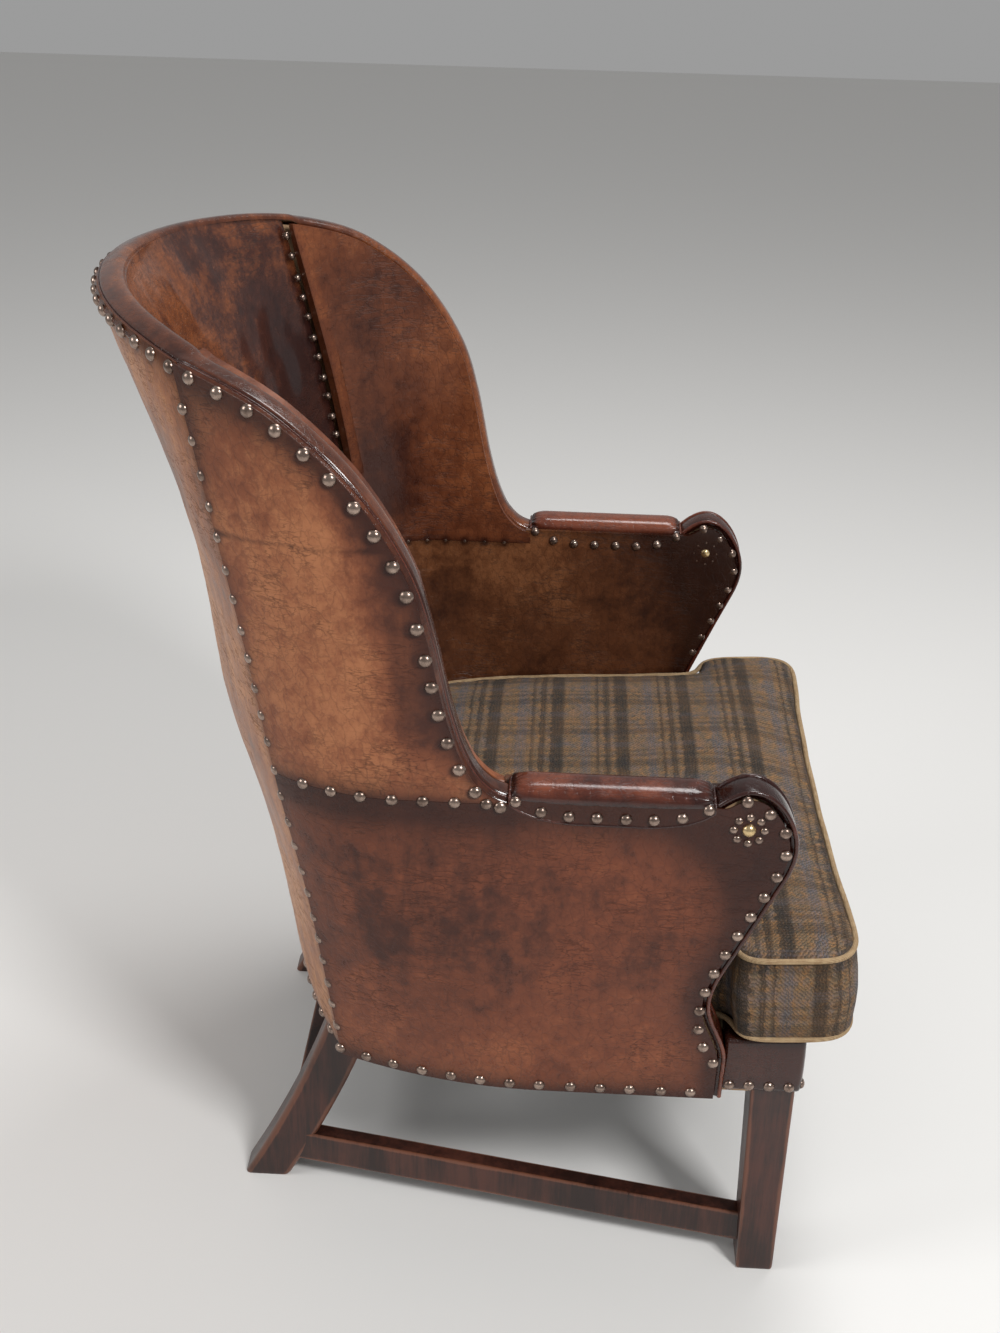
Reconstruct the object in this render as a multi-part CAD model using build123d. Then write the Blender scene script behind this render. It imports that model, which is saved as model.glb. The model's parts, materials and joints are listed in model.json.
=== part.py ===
from build123d import *
import os
from math import atan2, cos, hypot, pi, radians, sin, sqrt, tan

# A barrel-back hall chair. While it is built, x runs across it, y runs back from the front face of the
# front legs and z runs up from the floor. Each finished piece is then moved so that the middle of the
# chair's depth is at y = 0.

# Overall sizes, mm
HEIGHT = 998.0
BODY_DEPTH = 720.0
HALF_WIDTH = 360.0
LEG_HEIGHT = 235.0
ARM_TOP = 594.0
SEAM_HEIGHT = 588.0
INNER_SEAM_HEIGHT = 576.0
CUSHION_REACH = 56.0
OVERRUN = 40.0
GAP = 0.3
SEAT_EASE = 4.0

# Layers of the wall, mm, from the outside in
SKIN = 3.0
FRAME = 16.0
WALL = 32.0
POST_BACK = 22.0
POST_FRONT = 24.0

# Plan of the body at five heights, as shares. Height is a share of the body above its bottom edge. The half
# width and the seam's x are shares of HALF_WIDTH. The turn, where the straight side starts to curve, the
# seam's y and the middle of the back are shares of BODY_DEPTH.
PLAN_HEIGHT_SHARES = (0.0, 0.272, 0.464, 0.685, 1.0)
PLAN_WIDTH_SHARES = (0.866, 0.932, 0.944, 0.974, 0.997)
PLAN_TURN_SHARES = (0.352, 0.474, 0.549, 0.505, 0.504)
SEAM_X_SHARES = (0.750, 0.800, 0.832, 0.832, 0.786)
SEAM_Y_SHARES = (0.643, 0.680, 0.716, 0.757, 0.828)
BACK_SHARES = (0.744, 0.787, 0.845, 0.876, 1.0)
SEAM_SLANT_SHARE = 0.275
PLAN_STEPS = 9

# Rim of the wings and crest in side view: y as shares of BODY_DEPTH, z as shares of the rise from the arm
RIM_Y_SHARES = (0.408, 0.427, 0.449, 0.467, 0.484, 0.506, 0.525, 0.552, 0.601, 0.659, 0.718, 0.839, 0.978)
RIM_Z_SHARES = (0.000, 0.013, 0.050, 0.115, 0.216, 0.399, 0.519, 0.619, 0.742, 0.835, 0.898, 0.961, 1.000)
RIM_STEPS = 26

# Front edge of the arm in side view, from the seat up and over the scroll, mm
WAIST_Y = 97.0
WAIST_HEIGHT = 355.0
FOOT_Y = 76.0
FOOT_HEIGHT = 285.0
SCROLL_Y = 78.0
SCROLL_FRONT = 33.0
SCROLL_HEIGHT = 556.0
SCROLL_TOP = 610.0
SCROLL_END = 107.0
THROAT_Y = 46.0
THROAT_HEIGHT = 503.0
NECK_Y = 79.0
NECK_HEIGHT = 427.0
FACING = 6.0
FACING_DROP = 5.0

# Rim roll, mm
ROLL_SIDE = 2.4
ROLL_LAP = 1.2
ROLL_HEIGHT = 9.0
LID_RISE = 18.0
ROLL_SHOULDER_SHARE = 0.62
ROLL_BROW_SHARE = 0.66
ROLL_START_SHARE = 0.02
TIMBER_DROP = 11.0
ROLL_STEPS = 13

# Arm pads, mm
PAD_START = 110.0
PAD_END = 296.0
PAD_SIDE = 4.0
PAD_TOP = 15.0
PAD_DROP = 25.0
PAD_STATION_SHARES = (0.0, 0.05, 0.16, 0.34, 0.66, 0.84, 0.95, 1.0)
PAD_NAIL_SHARE = 0.03
PAD_BROW_SHARE = 0.72
PAD_FULL_SHARES = (0.30, 0.55, 0.86, 1.0, 1.0, 0.86, 0.55, 0.30)

# Legs and stretchers, mm
LEG_OUTER = 311.0
LEG_TOP = 45.0
LEG_FOOT = 39.0
REAR_LEG_WIDTH = 38.0
REAR_LEG_DEPTH = 50.0
REAR_LEG_TOP_X = 212.0
REAR_LEG_TOP_Y = 485.0
REAR_LEG_FOOT_X = 207.0
REAR_LEG_FOOT_Y = 587.0
REAR_LEG_KNEE_SHARE = 0.45
REAR_LEG_KNEE = 7.0
STRETCHER_THICK = 20.0
STRETCHER_BOTTOM = 26.0
STRETCHER_TALL = 38.0
STRETCHER_INSET = 11.0
REAR_STRETCHER_BOTTOM = 92.0
REAR_STRETCHER_TALL = 34.0

# Seat frame, mm
RAIL_BOTTOM = 243.0
RAIL_TOP = 272.0
FRONT_RAIL_FACE = 3.0
FRONT_RAIL_THICK = 30.0
COVER = 5.0
COVER_BOTTOM = 247.0
COVER_DEPTH = 75.7
ARM_RAIL_TALL = 44.0
ARM_POST_DEPTH = 52.0
RIM_RAIL_TALL = 46.0
DUST_COVER = 1.5
WEB = 1.5
WEB_WIDTH = 50.0
WEB_COUNT = 4
WEB_SPAN_SHARE = 0.62
WEB_BACK_SHARE = 0.66
SEAT_FRONT_HEIGHT = 316.0
SEAT_SLOPE = 3.5

# Loose cushion, mm
CUSHION_THICK = 104.0
CUSHION_CROWN = 16.0
CUSHION_SIDE_GAP = 3.0
EAR_HALF_WIDTH = 330.0
EAR_BACK = 73.0
EAR_CORNER = 34.0
EAR_BACK_CORNER = 20.0
NOTCH_CORNER = 14.0
CUSHION_DRAW = 9.0
CUSHION_LEVEL_SHARES = (0.0, 0.10, 0.30, 0.70, 0.90, 1.0)
CUSHION_INSETS = (14.0, 4.5, 0.0, 0.0, 4.5, 13.0)
CROWN_RISE_SHARES = (0.45, 0.80, 1.0)
CROWN_INSETS = (34.0, 74.0, 120.0)
EAR_FRONT_SHARE = 0.42
EAR_BACK_SHARE = 0.20
CORNER_FADE_SHARE = 0.65
PIPING = 4.5
PIPING_INSET = 5.0

# Upholstery nails and rosettes, mm
NAIL_HEAD = 11.5
NAIL_RISE = 3.4
NAIL_SHANK = 1.6
NAIL_LENGTH = 13.0
NAIL_PITCH = 29.5
SMALL_HEAD = 9.0
SMALL_RISE = 2.8
SMALL_PITCH = 24.0
SCROLL_PITCH = 25.5
PAD_PITCH = 27.0
PAD_NAIL_RISE = 9.0
COVER_PITCH = 20.0
EDGE_MARGIN = 9.0
RIM_MARGIN = 15.5
SEAM_MARGIN = 7.0
BOTTOM_MARGIN = 8.0
ROSETTE_Y = 78.0
ROSETTE_HEIGHT = 572.0
ROSETTE_BOSS = 13.0
ROSETTE_RISE = 5.0
ROSETTE_RING = 14.0
ROSETTE_NAIL = 8.0
ROSETTE_COUNT = 8

# Numbers of points used where places are picked along a line
FINE = 241
RIM_FINE = 104

MID_DEPTH = (BODY_DEPTH - CUSHION_REACH) / 2


def smooth(keys, values, key):
    """Value at key of a smooth curve through the given points."""
    slopes = [(values[i + 1] - values[i]) / (keys[i + 1] - keys[i]) for i in range(len(keys) - 1)]
    bends = [slopes[0]]
    for before, after in zip(slopes, slopes[1:]):
        bends.append(2 * before * after / (before + after) if before * after > 0 else 0)
    bends.append(slopes[-1])
    i = sum(key > k for k in keys[1:-1])
    span = keys[i + 1] - keys[i]
    t = (key - keys[i]) / span
    start = (1 + 2 * t) * (1 - t) ** 2 * values[i] + t * (1 - t) ** 2 * span * bends[i]
    end = t * t * (3 - 2 * t) * values[i + 1] + t * t * (t - 1) * span * bends[i + 1]
    return start + end


def steps(start, end, count):
    """Evenly spaced values from start to end, both included."""
    return [start + (end - start) * i / (count - 1) for i in range(count)]


# Plan of the body

def plan(z, inset):
    """Half width, turn, seam x, seam y and back y of the plan at height z, moved in by inset."""
    level = (z - LEG_HEIGHT) / (HEIGHT - LEG_HEIGHT)
    width = HALF_WIDTH * smooth(PLAN_HEIGHT_SHARES, PLAN_WIDTH_SHARES, level)
    turn = BODY_DEPTH * smooth(PLAN_HEIGHT_SHARES, PLAN_TURN_SHARES, level)
    seam_x = HALF_WIDTH * smooth(PLAN_HEIGHT_SHARES, SEAM_X_SHARES, level)
    seam_y = BODY_DEPTH * smooth(PLAN_HEIGHT_SHARES, SEAM_Y_SHARES, level)
    back = BODY_DEPTH * smooth(PLAN_HEIGHT_SHARES, BACK_SHARES, level)
    radius = side_radius(width, turn, seam_x, seam_y)
    centre = back_centre(seam_x, seam_y, back)
    side = Vector((seam_x - width + radius) / radius, (seam_y - turn) / radius)
    rear = Vector(seam_x / (back - centre), (seam_y - centre) / (back - centre))
    miter = (side + rear) * (inset / (1 + side.dot(rear)))
    return width - inset, turn, seam_x - miter.X, seam_y - miter.Y, back - inset


def side_radius(width, turn, seam_x, seam_y):
    """Radius of the arc that leaves the straight side at the turn and ends at the seam."""
    return ((width - seam_x) ** 2 + (seam_y - turn) ** 2) / (2 * (width - seam_x))


def back_centre(seam_x, seam_y, back):
    """y of the centre of the arc from seam to seam round the back."""
    return (back ** 2 - seam_x ** 2 - seam_y ** 2) / (2 * (back - seam_y))


def at_depth(z, inset, y):
    """Point of the plan at depth y on the +x side, and the plan's outward direction there."""
    width, turn, seam_x, seam_y, back = plan(z, inset)
    if y <= turn:
        return Vector(width, y, z), Vector(1, 0, 0)
    if y <= seam_y:
        radius = side_radius(width, turn, seam_x, seam_y)
        across = sqrt(radius ** 2 - (y - turn) ** 2)
        return Vector(width - radius + across, y, z), Vector(across / radius, (y - turn) / radius, 0)
    centre = back_centre(seam_x, seam_y, back)
    radius = back - centre
    across = sqrt(max(radius ** 2 - (y - centre) ** 2, 0))
    return Vector(across, y, z), Vector(across / radius, (y - centre) / radius, 0)


def at_turn(z, inset, share):
    """Point on the back arc, at a share of the way from the middle of the back to the seam."""
    width, turn, seam_x, seam_y, back = plan(z, inset)
    centre = back_centre(seam_x, seam_y, back)
    angle = share * atan2(seam_x, seam_y - centre)
    out = Vector(sin(angle), cos(angle), 0)
    return Vector(0, centre, z) + out * (back - centre), out


def half_edges(z, inset):
    """The body's plan at height z as its five edges, from the +x front round to the -x front."""
    width, turn, seam_x, seam_y, back = plan(z, inset)
    front = -OVERRUN
    return [
        Line((width, front), (width, turn)),
        TangentArc((width, turn), (seam_x, seam_y), tangent=(0, 1)),
        ThreePointArc((seam_x, seam_y), (0, back), (-seam_x, seam_y)),
        TangentArc((-width, turn), (-seam_x, seam_y), tangent=(0, 1)),
        Line((-width, turn), (-width, front)),
    ]


def wall(outer, inner):
    """The barrel wall between two depths below the outer face, open at the front."""
    sections = []
    for z in steps(LEG_HEIGHT, HEIGHT, PLAN_STEPS):
        out_width = plan(z, outer)[0]
        in_width = plan(z, inner)[0]
        ends = [Line((side * out_width, -OVERRUN), (side * in_width, -OVERRUN)) for side in (1, -1)]
        sections.append(Pos(0, 0, z) * make_face(half_edges(z, outer) + half_edges(z, inner) + ends))
    return loft(sections)


def core(inset, low, high):
    """Everything inside the barrel wall, closed at the front, between two heights."""
    sections = []
    for z in steps(low, high, 3):
        width = plan(z, inset)[0]
        edges = half_edges(z, inset) + [Line((-width, -OVERRUN), (width, -OVERRUN))]
        sections.append(Pos(0, 0, z) * make_face(edges))
    return loft(sections)


def back_wedge(spread):
    """The space behind the slanted seams, widened to each side by spread."""
    sections = []
    heights = steps(LEG_HEIGHT, HEIGHT, PLAN_STEPS)
    drawn_at = [LEG_HEIGHT - OVERRUN] + heights + [HEIGHT + OVERRUN]
    for z, place in zip([LEG_HEIGHT] + heights + [HEIGHT], drawn_at):
        width, turn, seam_x, seam_y, back = plan(z, 0)
        slant = SEAM_SLANT_SHARE * seam_x
        along = hypot(seam_x, slant)
        x = seam_x + spread * slant / along
        y = seam_y - spread * seam_x / along
        reach = 2 * x
        sections.append(Pos(0, 0, place) * make_face(Polyline(
            (0, y - SEAM_SLANT_SHARE * x),
            (reach, y + SEAM_SLANT_SHARE * x),
            (reach, back + OVERRUN),
            (-reach, back + OVERRUN),
            (-reach, y + SEAM_SLANT_SHARE * x),
            (0, y - SEAM_SLANT_SHARE * x),
        )))
    return loft(sections, ruled=True)


# Side view of the body

def shifted(points, amount):
    """Points of an open line, moved to the right of the way it runs."""
    moved = []
    for i, (y, z) in enumerate(points):
        before = points[max(i - 1, 0)]
        after = points[min(i + 1, len(points) - 1)]
        run = hypot(after[0] - before[0], after[1] - before[1])
        moved.append((y + amount * (after[1] - before[1]) / run, z - amount * (after[0] - before[0]) / run))
    return moved


def rim_point(share):
    """Point of the rim's ridge in side view, at a share of its run from the arm to the crest."""
    keys = [i / (len(RIM_Y_SHARES) - 1) for i in range(len(RIM_Y_SHARES))]
    y = BODY_DEPTH * smooth(keys, RIM_Y_SHARES, share)
    z = ARM_TOP + (HEIGHT - ARM_TOP) * smooth(keys, RIM_Z_SHARES, share)
    return y, z


def rim_line(drop):
    """The rim in side view, moved down and back into the wall by drop."""
    return shifted([rim_point(share) for share in steps(0, 1, RIM_STEPS)], drop)


def scroll_line(inset):
    """The arm's front edge in side view, from the seat over the scroll, moved in by inset."""
    return shifted([
        (FOOT_Y, LEG_HEIGHT),
        (FOOT_Y, FOOT_HEIGHT),
        (WAIST_Y, WAIST_HEIGHT),
        (NECK_Y, NECK_HEIGHT),
        (THROAT_Y, THROAT_HEIGHT),
        (SCROLL_FRONT, SCROLL_HEIGHT),
        (SCROLL_Y, SCROLL_TOP),
        (SCROLL_END, ARM_TOP),
    ], inset)


def side_profile(inset, drop):
    """The body in side view as a solid right across the chair: front edge in by inset, rim in by drop."""
    front = scroll_line(inset)
    rim = rim_line(drop)
    rear = BODY_DEPTH + OVERRUN
    top = rim[-1][1] + (rear - rim[-1][0]) * (rim[-1][1] - rim[-2][1]) / (rim[-1][0] - rim[-2][0])
    below = LEG_HEIGHT - OVERRUN
    outline = [
        Line((front[0][0], below), front[1]),
        Spline(front[1:], tangents=((0, 1), (1, -1))),
        Line(front[-1], rim[0]),
        Spline(rim),
        Polyline(rim[-1], (rear, top), (rear, below), (front[0][0], below)),
    ]
    return extrude(Plane.YZ * make_face(outline), HALF_WIDTH + OVERRUN, both=True)


def slab(low, high, front=-OVERRUN, rear=BODY_DEPTH + OVERRUN, half_width=HALF_WIDTH + OVERRUN):
    """A block right across the chair between two heights and two depths."""
    size = (2 * half_width, rear - front, high - low)
    return Pos(0, (front + rear) / 2, (low + high) / 2) * Box(*size)


def half_space():
    """Everything on the sitter's left of the chair's middle plane."""
    reach = HALF_WIDTH + OVERRUN
    tall = HEIGHT + OVERRUN
    return Pos(reach / 2, BODY_DEPTH / 2, tall / 2) * Box(reach, 2 * BODY_DEPTH, 2 * tall)


def other_side(shape):
    """The mirror image of a piece, for the sitter's right."""
    return mirror(shape, about=Plane.YZ)


def under_seat_plane(drop):
    """Everything below the sloping seat, lowered by drop."""
    rear = BODY_DEPTH + OVERRUN
    fall = tan(radians(SEAT_SLOPE))
    low = LEG_HEIGHT - OVERRUN
    front_height = SEAT_FRONT_HEIGHT + OVERRUN * fall - drop
    outline = Polyline(
        (-OVERRUN, low), (-OVERRUN, front_height), (rear, SEAT_FRONT_HEIGHT - rear * fall - drop), (rear, low),
        (-OVERRUN, low))
    return extrude(Plane.YZ * make_face(outline), HALF_WIDTH + OVERRUN, both=True)


# Rim roll

def roll_stations():
    """Points of the ridge with their outward directions, from the +x arm to the middle of the crest."""
    stations = []
    middle = WALL / 2
    for share in steps(ROLL_START_SHARE, 1, RIM_FINE):
        y, z = rim_point(share)
        if y > plan(z, middle)[3]:
            break
        stations.append(leaned(z, middle, y))
    stations = stations[::2]
    for share in steps(1, 0, ROLL_STEPS)[1:]:
        height = HEIGHT
        for _ in range(ROLL_STEPS):
            y = at_turn(height, middle, share)[0].Y
            height = rim_height(y)
        stations.append(leaned_turn(height, middle, share))
    return stations


def rim_height(y):
    """Height of the rim's ridge at depth y."""
    low, high = 0.0, 1.0
    for _ in range(RIM_STEPS):
        share = (low + high) / 2
        if rim_point(share)[0] < y:
            low = share
        else:
            high = share
    return rim_point(share)[1]


def mirrored(stations):
    """Stations of the other side, in running order."""
    flip = Vector(-1, 1, 1)
    return [(Vector(-p.X, p.Y, p.Z), Vector(-n.X, n.Y, n.Z)) for p, n in reversed(stations)]


def roll_section(point, out, along):
    """Cross-section of the roll at a station, drawn from its ridge into the wall, flat at the bottom."""
    plane = Plane(origin=point, x_dir=out, z_dir=along)
    half_width = WALL / 2 + ROLL_SIDE
    inner = WALL / 2 + ROLL_LAP
    shoulder = ROLL_HEIGHT * ROLL_SHOULDER_SHARE
    lean = inner * ROLL_BROW_SHARE
    edge = ROLL_HEIGHT * (1 - ROLL_SHOULDER_SHARE) / 2
    outline = [
        Line((-inner, ROLL_HEIGHT), (inner, ROLL_HEIGHT)),
        ThreePointArc((inner, ROLL_HEIGHT), (half_width, shoulder), (lean, edge)),
        ThreePointArc((lean, edge), (0, 0), (-lean, edge)),
        ThreePointArc((-lean, edge), (-half_width, shoulder), (-inner, ROLL_HEIGHT)),
    ]
    return plane * make_face(outline)


def along_rim(stations, section):
    """Solid that carries a cross-section through a run of stations."""
    sections = []
    for i, (point, out) in enumerate(stations):
        before = stations[max(i - 1, 0)][0]
        after = stations[min(i + 1, len(stations) - 1)][0]
        along = (after - before).normalized()
        square = (out - along * out.dot(along)).normalized()
        sections.append(section(point, square, along))
    return loft(sections)


def rim_band(stations, near, far):
    """Everything along the rim between two depths below its ridge, wider than the wall."""
    def section(point, out, along):
        plane = Plane(origin=point, x_dir=out, z_dir=along)
        return plane * (Pos(0, (near + far) / 2) * Rectangle(2 * WALL, far - near))
    return along_rim(stations, section)


# Arm pads

def arm_pad(hollow):
    """Padded leather saddle over the left arm."""
    sections = []
    middle = plan(ARM_TOP, WALL / 2)[0]
    for station, full in zip(PAD_STATION_SHARES, PAD_FULL_SHARES):
        y = PAD_START + station * (PAD_END - PAD_START)
        reach = WALL / 2 + PAD_SIDE * full
        top = ARM_TOP + PAD_TOP * full ** 0.5
        low = ARM_TOP - PAD_DROP * full + GAP
        brow = (low + 2 * top) / 3
        lean = reach * PAD_BROW_SHARE
        outline = [
            Line((-reach, low), (reach, low)),
            ThreePointArc((reach, low), (reach + GAP, (low + brow) / 2), (reach, brow)),
            ThreePointArc((reach, brow), (lean, (brow + 2 * top) / 3), (0, top)),
            ThreePointArc((0, top), (-lean, (brow + 2 * top) / 3), (-reach, brow)),
            ThreePointArc((-reach, brow), (-reach - GAP, (low + brow) / 2), (-reach, low)),
        ]
        plane = Plane(origin=(middle, y, 0), x_dir=(1, 0, 0), z_dir=(0, -1, 0))
        sections.append(plane * make_face(outline))
    return loft(sections) - hollow


# Cushion

def cushion_outline(inset):
    """Closed T-shaped outline of the cushion, moved in by inset."""
    rear_low = max(SEAT_FRONT_HEIGHT - BODY_DEPTH * tan(radians(SEAT_SLOPE)), LEG_HEIGHT)
    full_height = rear_low + CUSHION_LEVEL_SHARES[2] * CUSHION_THICK
    width, turn, seam_x, seam_y, back = plan(full_height, WALL + CUSHION_SIDE_GAP + inset)
    ear = EAR_HALF_WIDTH - inset
    beyond = max(inset - CUSHION_INSETS[0], 0)
    front = PIPING - CUSHION_REACH - PIPING_INSET + inset - beyond * (1 - EAR_FRONT_SHARE)
    corner = EAR_CORNER * (1 - CORNER_FADE_SHARE * inset / CROWN_INSETS[-1])
    rear_corner = EAR_BACK_CORNER * (1 - CORNER_FADE_SHARE * inset / CROWN_INSETS[-1])
    ear_back = EAR_BACK - inset + beyond * (1 - EAR_BACK_SHARE)
    notch = NOTCH_CORNER
    edges = [ThreePointArc((-ear + corner, front), (0, front + CUSHION_DRAW), (ear - corner, front))]
    for s in (1, -1):
        bow = corner * (1 - sqrt(0.5))
        rear_bow = rear_corner * (1 - sqrt(0.5))
        dent = notch * (1 - sqrt(0.5))
        edges += [
            ThreePointArc((s * (ear - corner), front), (s * (ear - bow), front + bow), (s * ear, front + corner)),
            Line((s * ear, front + corner), (s * ear, ear_back - rear_corner)),
            ThreePointArc((s * ear, ear_back - rear_corner), (s * (ear - rear_bow), ear_back - rear_bow),
                          (s * (ear - rear_corner), ear_back)),
            Line((s * (ear - rear_corner), ear_back), (s * (width + notch), ear_back)),
            ThreePointArc((s * (width + notch), ear_back), (s * (width + dent), ear_back + dent),
                          (s * width, ear_back + notch)),
            Line((s * width, ear_back + notch), (s * width, turn)),
            TangentArc((s * width, turn), (s * seam_x, seam_y), tangent=(0, 1)),
        ]
    edges.append(ThreePointArc((seam_x, seam_y), (0, back), (-seam_x, seam_y)))
    return edges


def on_seat(shape):
    """Shape drawn level above zero, set down on the sloping seat."""
    return Pos(0, 0, SEAT_FRONT_HEIGHT + GAP) * Rot(-SEAT_SLOPE, 0, 0) * shape


def cushion():
    """The cushion's crowned body."""
    levels = [(share * CUSHION_THICK, inset) for share, inset in zip(CUSHION_LEVEL_SHARES, CUSHION_INSETS)]
    rises = [levels[-1]]
    for share, inset in zip(CROWN_RISE_SHARES, CROWN_INSETS):
        rises.append((CUSHION_THICK + share * CUSHION_CROWN, inset))
    border = loft([Pos(0, 0, z) * make_face(cushion_outline(inset)) for z, inset in levels])
    crown = loft([Pos(0, 0, z) * make_face(cushion_outline(inset)) for z, inset in rises], ruled=True)
    return on_seat(border + crown)


def piping():
    """Round welt that is sewn into the cushion's seams, drawn level at zero."""
    path = make_face(cushion_outline(PIPING_INSET)).face().outer_wire()
    start = path @ 0
    section = Plane(origin=start, z_dir=path % 0) * Circle(PIPING)
    return sweep(section, path=path, transition=Transition.ROUND)


# Nails

def nail(head, rise):
    """Dome-headed nail with its shank, head's flat side on the XY plane."""
    radius = head / 2
    dome_radius = (radius ** 2 + rise ** 2) / (2 * rise)
    ball = Pos(0, 0, rise - dome_radius) * Sphere(dome_radius)
    dome = ball & Pos(0, 0, rise) * Box(2 * head, 2 * head, 2 * rise)
    return dome + Pos(0, 0, -NAIL_LENGTH / 2) * Cylinder(NAIL_SHANK / 2, NAIL_LENGTH)


def driven(kind, places):
    """Copies of a nail at places given as points with outward directions."""
    return [Plane(origin=point, z_dir=out) * kind for point, out in places]


def spaced(points, pitch):
    """Points with directions, evenly spaced along a run of closely set ones, near the pitch."""
    runs = [0.0]
    for (before, _), (after, _) in zip(points, points[1:]):
        runs.append(runs[-1] + (after - before).length)
    count = max(round(runs[-1] / pitch), 1)
    chosen = []
    for i in range(count + 1):
        target = runs[-1] * i / count
        near = min(range(len(runs)), key=lambda k: abs(runs[k] - target))
        chosen.append(points[near])
    return chosen


def both_sides(places):
    """Places on the +x side with their mirror images."""
    return places + mirrored(places)


def leaned(z, inset, y):
    """Point of the wall's face at a height and depth, with its outward direction in space."""
    point, out = at_depth(z, inset, y)
    step = GAP
    above = at_depth(z + step, inset, y)[0]
    lean = (above - point).dot(out) / step
    return point, Vector(out.X, out.Y, -lean).normalized()


def leaned_turn(z, inset, share):
    """Point of the back's face at a height and share of the turn, with its outward direction."""
    point, out = at_turn(z, inset, share)
    above = at_turn(z + GAP, inset, share)[0]
    lean = (above - point).dot(out) / GAP
    return point, Vector(out.X, out.Y, -lean).normalized()


def facing_in(places, thickness):
    """Places on the inner face, opposite places on the outer one, pointing into the chair."""
    return [(point - out * thickness, -out) for point, out in places]


def rim_places():
    """Nails of the rim, a margin below the ridge on the outer face."""
    places = []
    for share in steps(2 * ROLL_START_SHARE, 1, FINE):
        y, z = rim_point(share)
        ahead = rim_point(min(share + 1 / FINE, 1))
        behind = rim_point(max(share - 1 / FINE, 0))
        run = hypot(ahead[0] - behind[0], ahead[1] - behind[1])
        y += RIM_MARGIN * (ahead[1] - behind[1]) / run
        z -= RIM_MARGIN * (ahead[0] - behind[0]) / run
        if y > plan(z, 0)[3]:
            break
        places.append(leaned(z, 0, y))
    for share in steps(1, 0, FINE)[1:]:
        z = HEIGHT - RIM_MARGIN
        for _ in range(ROLL_STEPS):
            z = rim_height(at_turn(z, WALL / 2, share)[0].Y) - RIM_MARGIN
        places.append(leaned_turn(z, 0, share))
    whole = places + mirrored(places)[1:]
    return spaced(whole, NAIL_PITCH)


def upright_places():
    """Nails up the slanted seam between back and wing, on the outer face."""
    top = rim_height(plan(HEIGHT, WALL / 2)[3]) - RIM_MARGIN - NAIL_PITCH
    places = [leaned_turn(z, 0, 1) for z in steps(LEG_HEIGHT + BOTTOM_MARGIN + NAIL_PITCH, top, FINE)]
    return spaced(places, NAIL_PITCH)


def inner_seam_point(z, margin):
    """Point of the inner face beside the slanted seam at height z, and the way it faces."""
    width, turn, seam_x, seam_y, back = plan(z, 0)
    centre = back_centre(seam_x, seam_y, back)
    radius = back - centre - WALL
    start_x = seam_x
    start_y = seam_y + margin * sqrt(1 + SEAM_SLANT_SHARE ** 2) - centre
    slope = SEAM_SLANT_SHARE
    level = start_y - slope * start_x
    a = 1 + slope ** 2
    x = (-slope * level + sqrt((slope * level) ** 2 - a * (level ** 2 - radius ** 2))) / a
    y = level + slope * x
    return Vector(x, y + centre, z), Vector(-x / radius, -y / radius, 0)


def inner_upright_places():
    """Small nails up the seam between inside back and inside wing."""
    top = rim_height(plan(HEIGHT, WALL)[3]) - ROLL_HEIGHT - SMALL_HEAD
    low = SEAT_FRONT_HEIGHT + CUSHION_THICK
    return spaced([inner_seam_point(z, SEAM_MARGIN) for z in steps(low, top, FINE)], SMALL_PITCH)


def level_places(z, inset, front, rear, pitch):
    """Nails along a level line of the wall, from a front depth back to a rear one."""
    return spaced([leaned(z, inset, y) for y in steps(front, rear, FINE)], pitch)


def back_level_places(z, margin):
    """Nails along a level line round the back, clear of the seams by a margin."""
    width, turn, seam_x, seam_y, back = plan(z, 0)
    edge = 1 - margin / seam_x
    return spaced([leaned_turn(z, 0, share) for share in steps(-edge, edge, FINE)], NAIL_PITCH)


def scroll_curve():
    """Line of the nails round the arm's front edge in side view."""
    line = scroll_line(EDGE_MARGIN)[1:-1]
    return Spline(line)


def scroll_places(inset, low):
    """Nails round the arm's front edge on one face of the arm, above a height."""
    curve = scroll_curve()
    places = []
    for share in steps(0, 1, FINE):
        spot = curve @ share
        if spot.Y > low:
            places.append(leaned(spot.Y, inset, spot.X))
    return spaced(places, SCROLL_PITCH)


def pad_places():
    """Nails round the scalloped edge of an arm pad, on its outer side."""
    middle = plan(ARM_TOP, WALL / 2)[0]
    places = []
    for station in steps(PAD_NAIL_SHARE, 1 - PAD_NAIL_SHARE, FINE):
        full = smooth(PAD_STATION_SHARES, PAD_FULL_SHARES, station)
        reach = WALL / 2 + PAD_SIDE * full
        y = PAD_START + station * (PAD_END - PAD_START)
        z = ARM_TOP - PAD_DROP * full + PAD_NAIL_RISE
        places.append((Vector(middle + reach, y, z), Vector(1, 0, 0)))
    return spaced(places, PAD_PITCH)


def inner_pad_places():
    """Nails of the same arm pad on the side that faces the sitter."""
    middle = plan(ARM_TOP, WALL / 2)[0]
    return [(Vector(2 * middle - p.X, p.Y, p.Z), Vector(-1, 0, 0)) for p, n in pad_places()]


def cover_places():
    """Nails along the lower edge of the leather round the front leg's top."""
    z = COVER_BOTTOM + BOTTOM_MARGIN
    half_width = LEG_OUTER + COVER
    ends = steps(BOTTOM_MARGIN, COVER_DEPTH - BOTTOM_MARGIN, FINE)
    return spaced([(Vector(half_width, y, z), Vector(1, 0, 0)) for y in ends], COVER_PITCH)


def front_places():
    """Nails along the lower edge of the front rail's leather."""
    z = COVER_BOTTOM + BOTTOM_MARGIN
    edge = LEG_OUTER + COVER - BOTTOM_MARGIN
    return spaced([(Vector(x, -COVER, z), Vector(0, -1, 0)) for x in steps(-edge, edge, FINE)], NAIL_PITCH)


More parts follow.
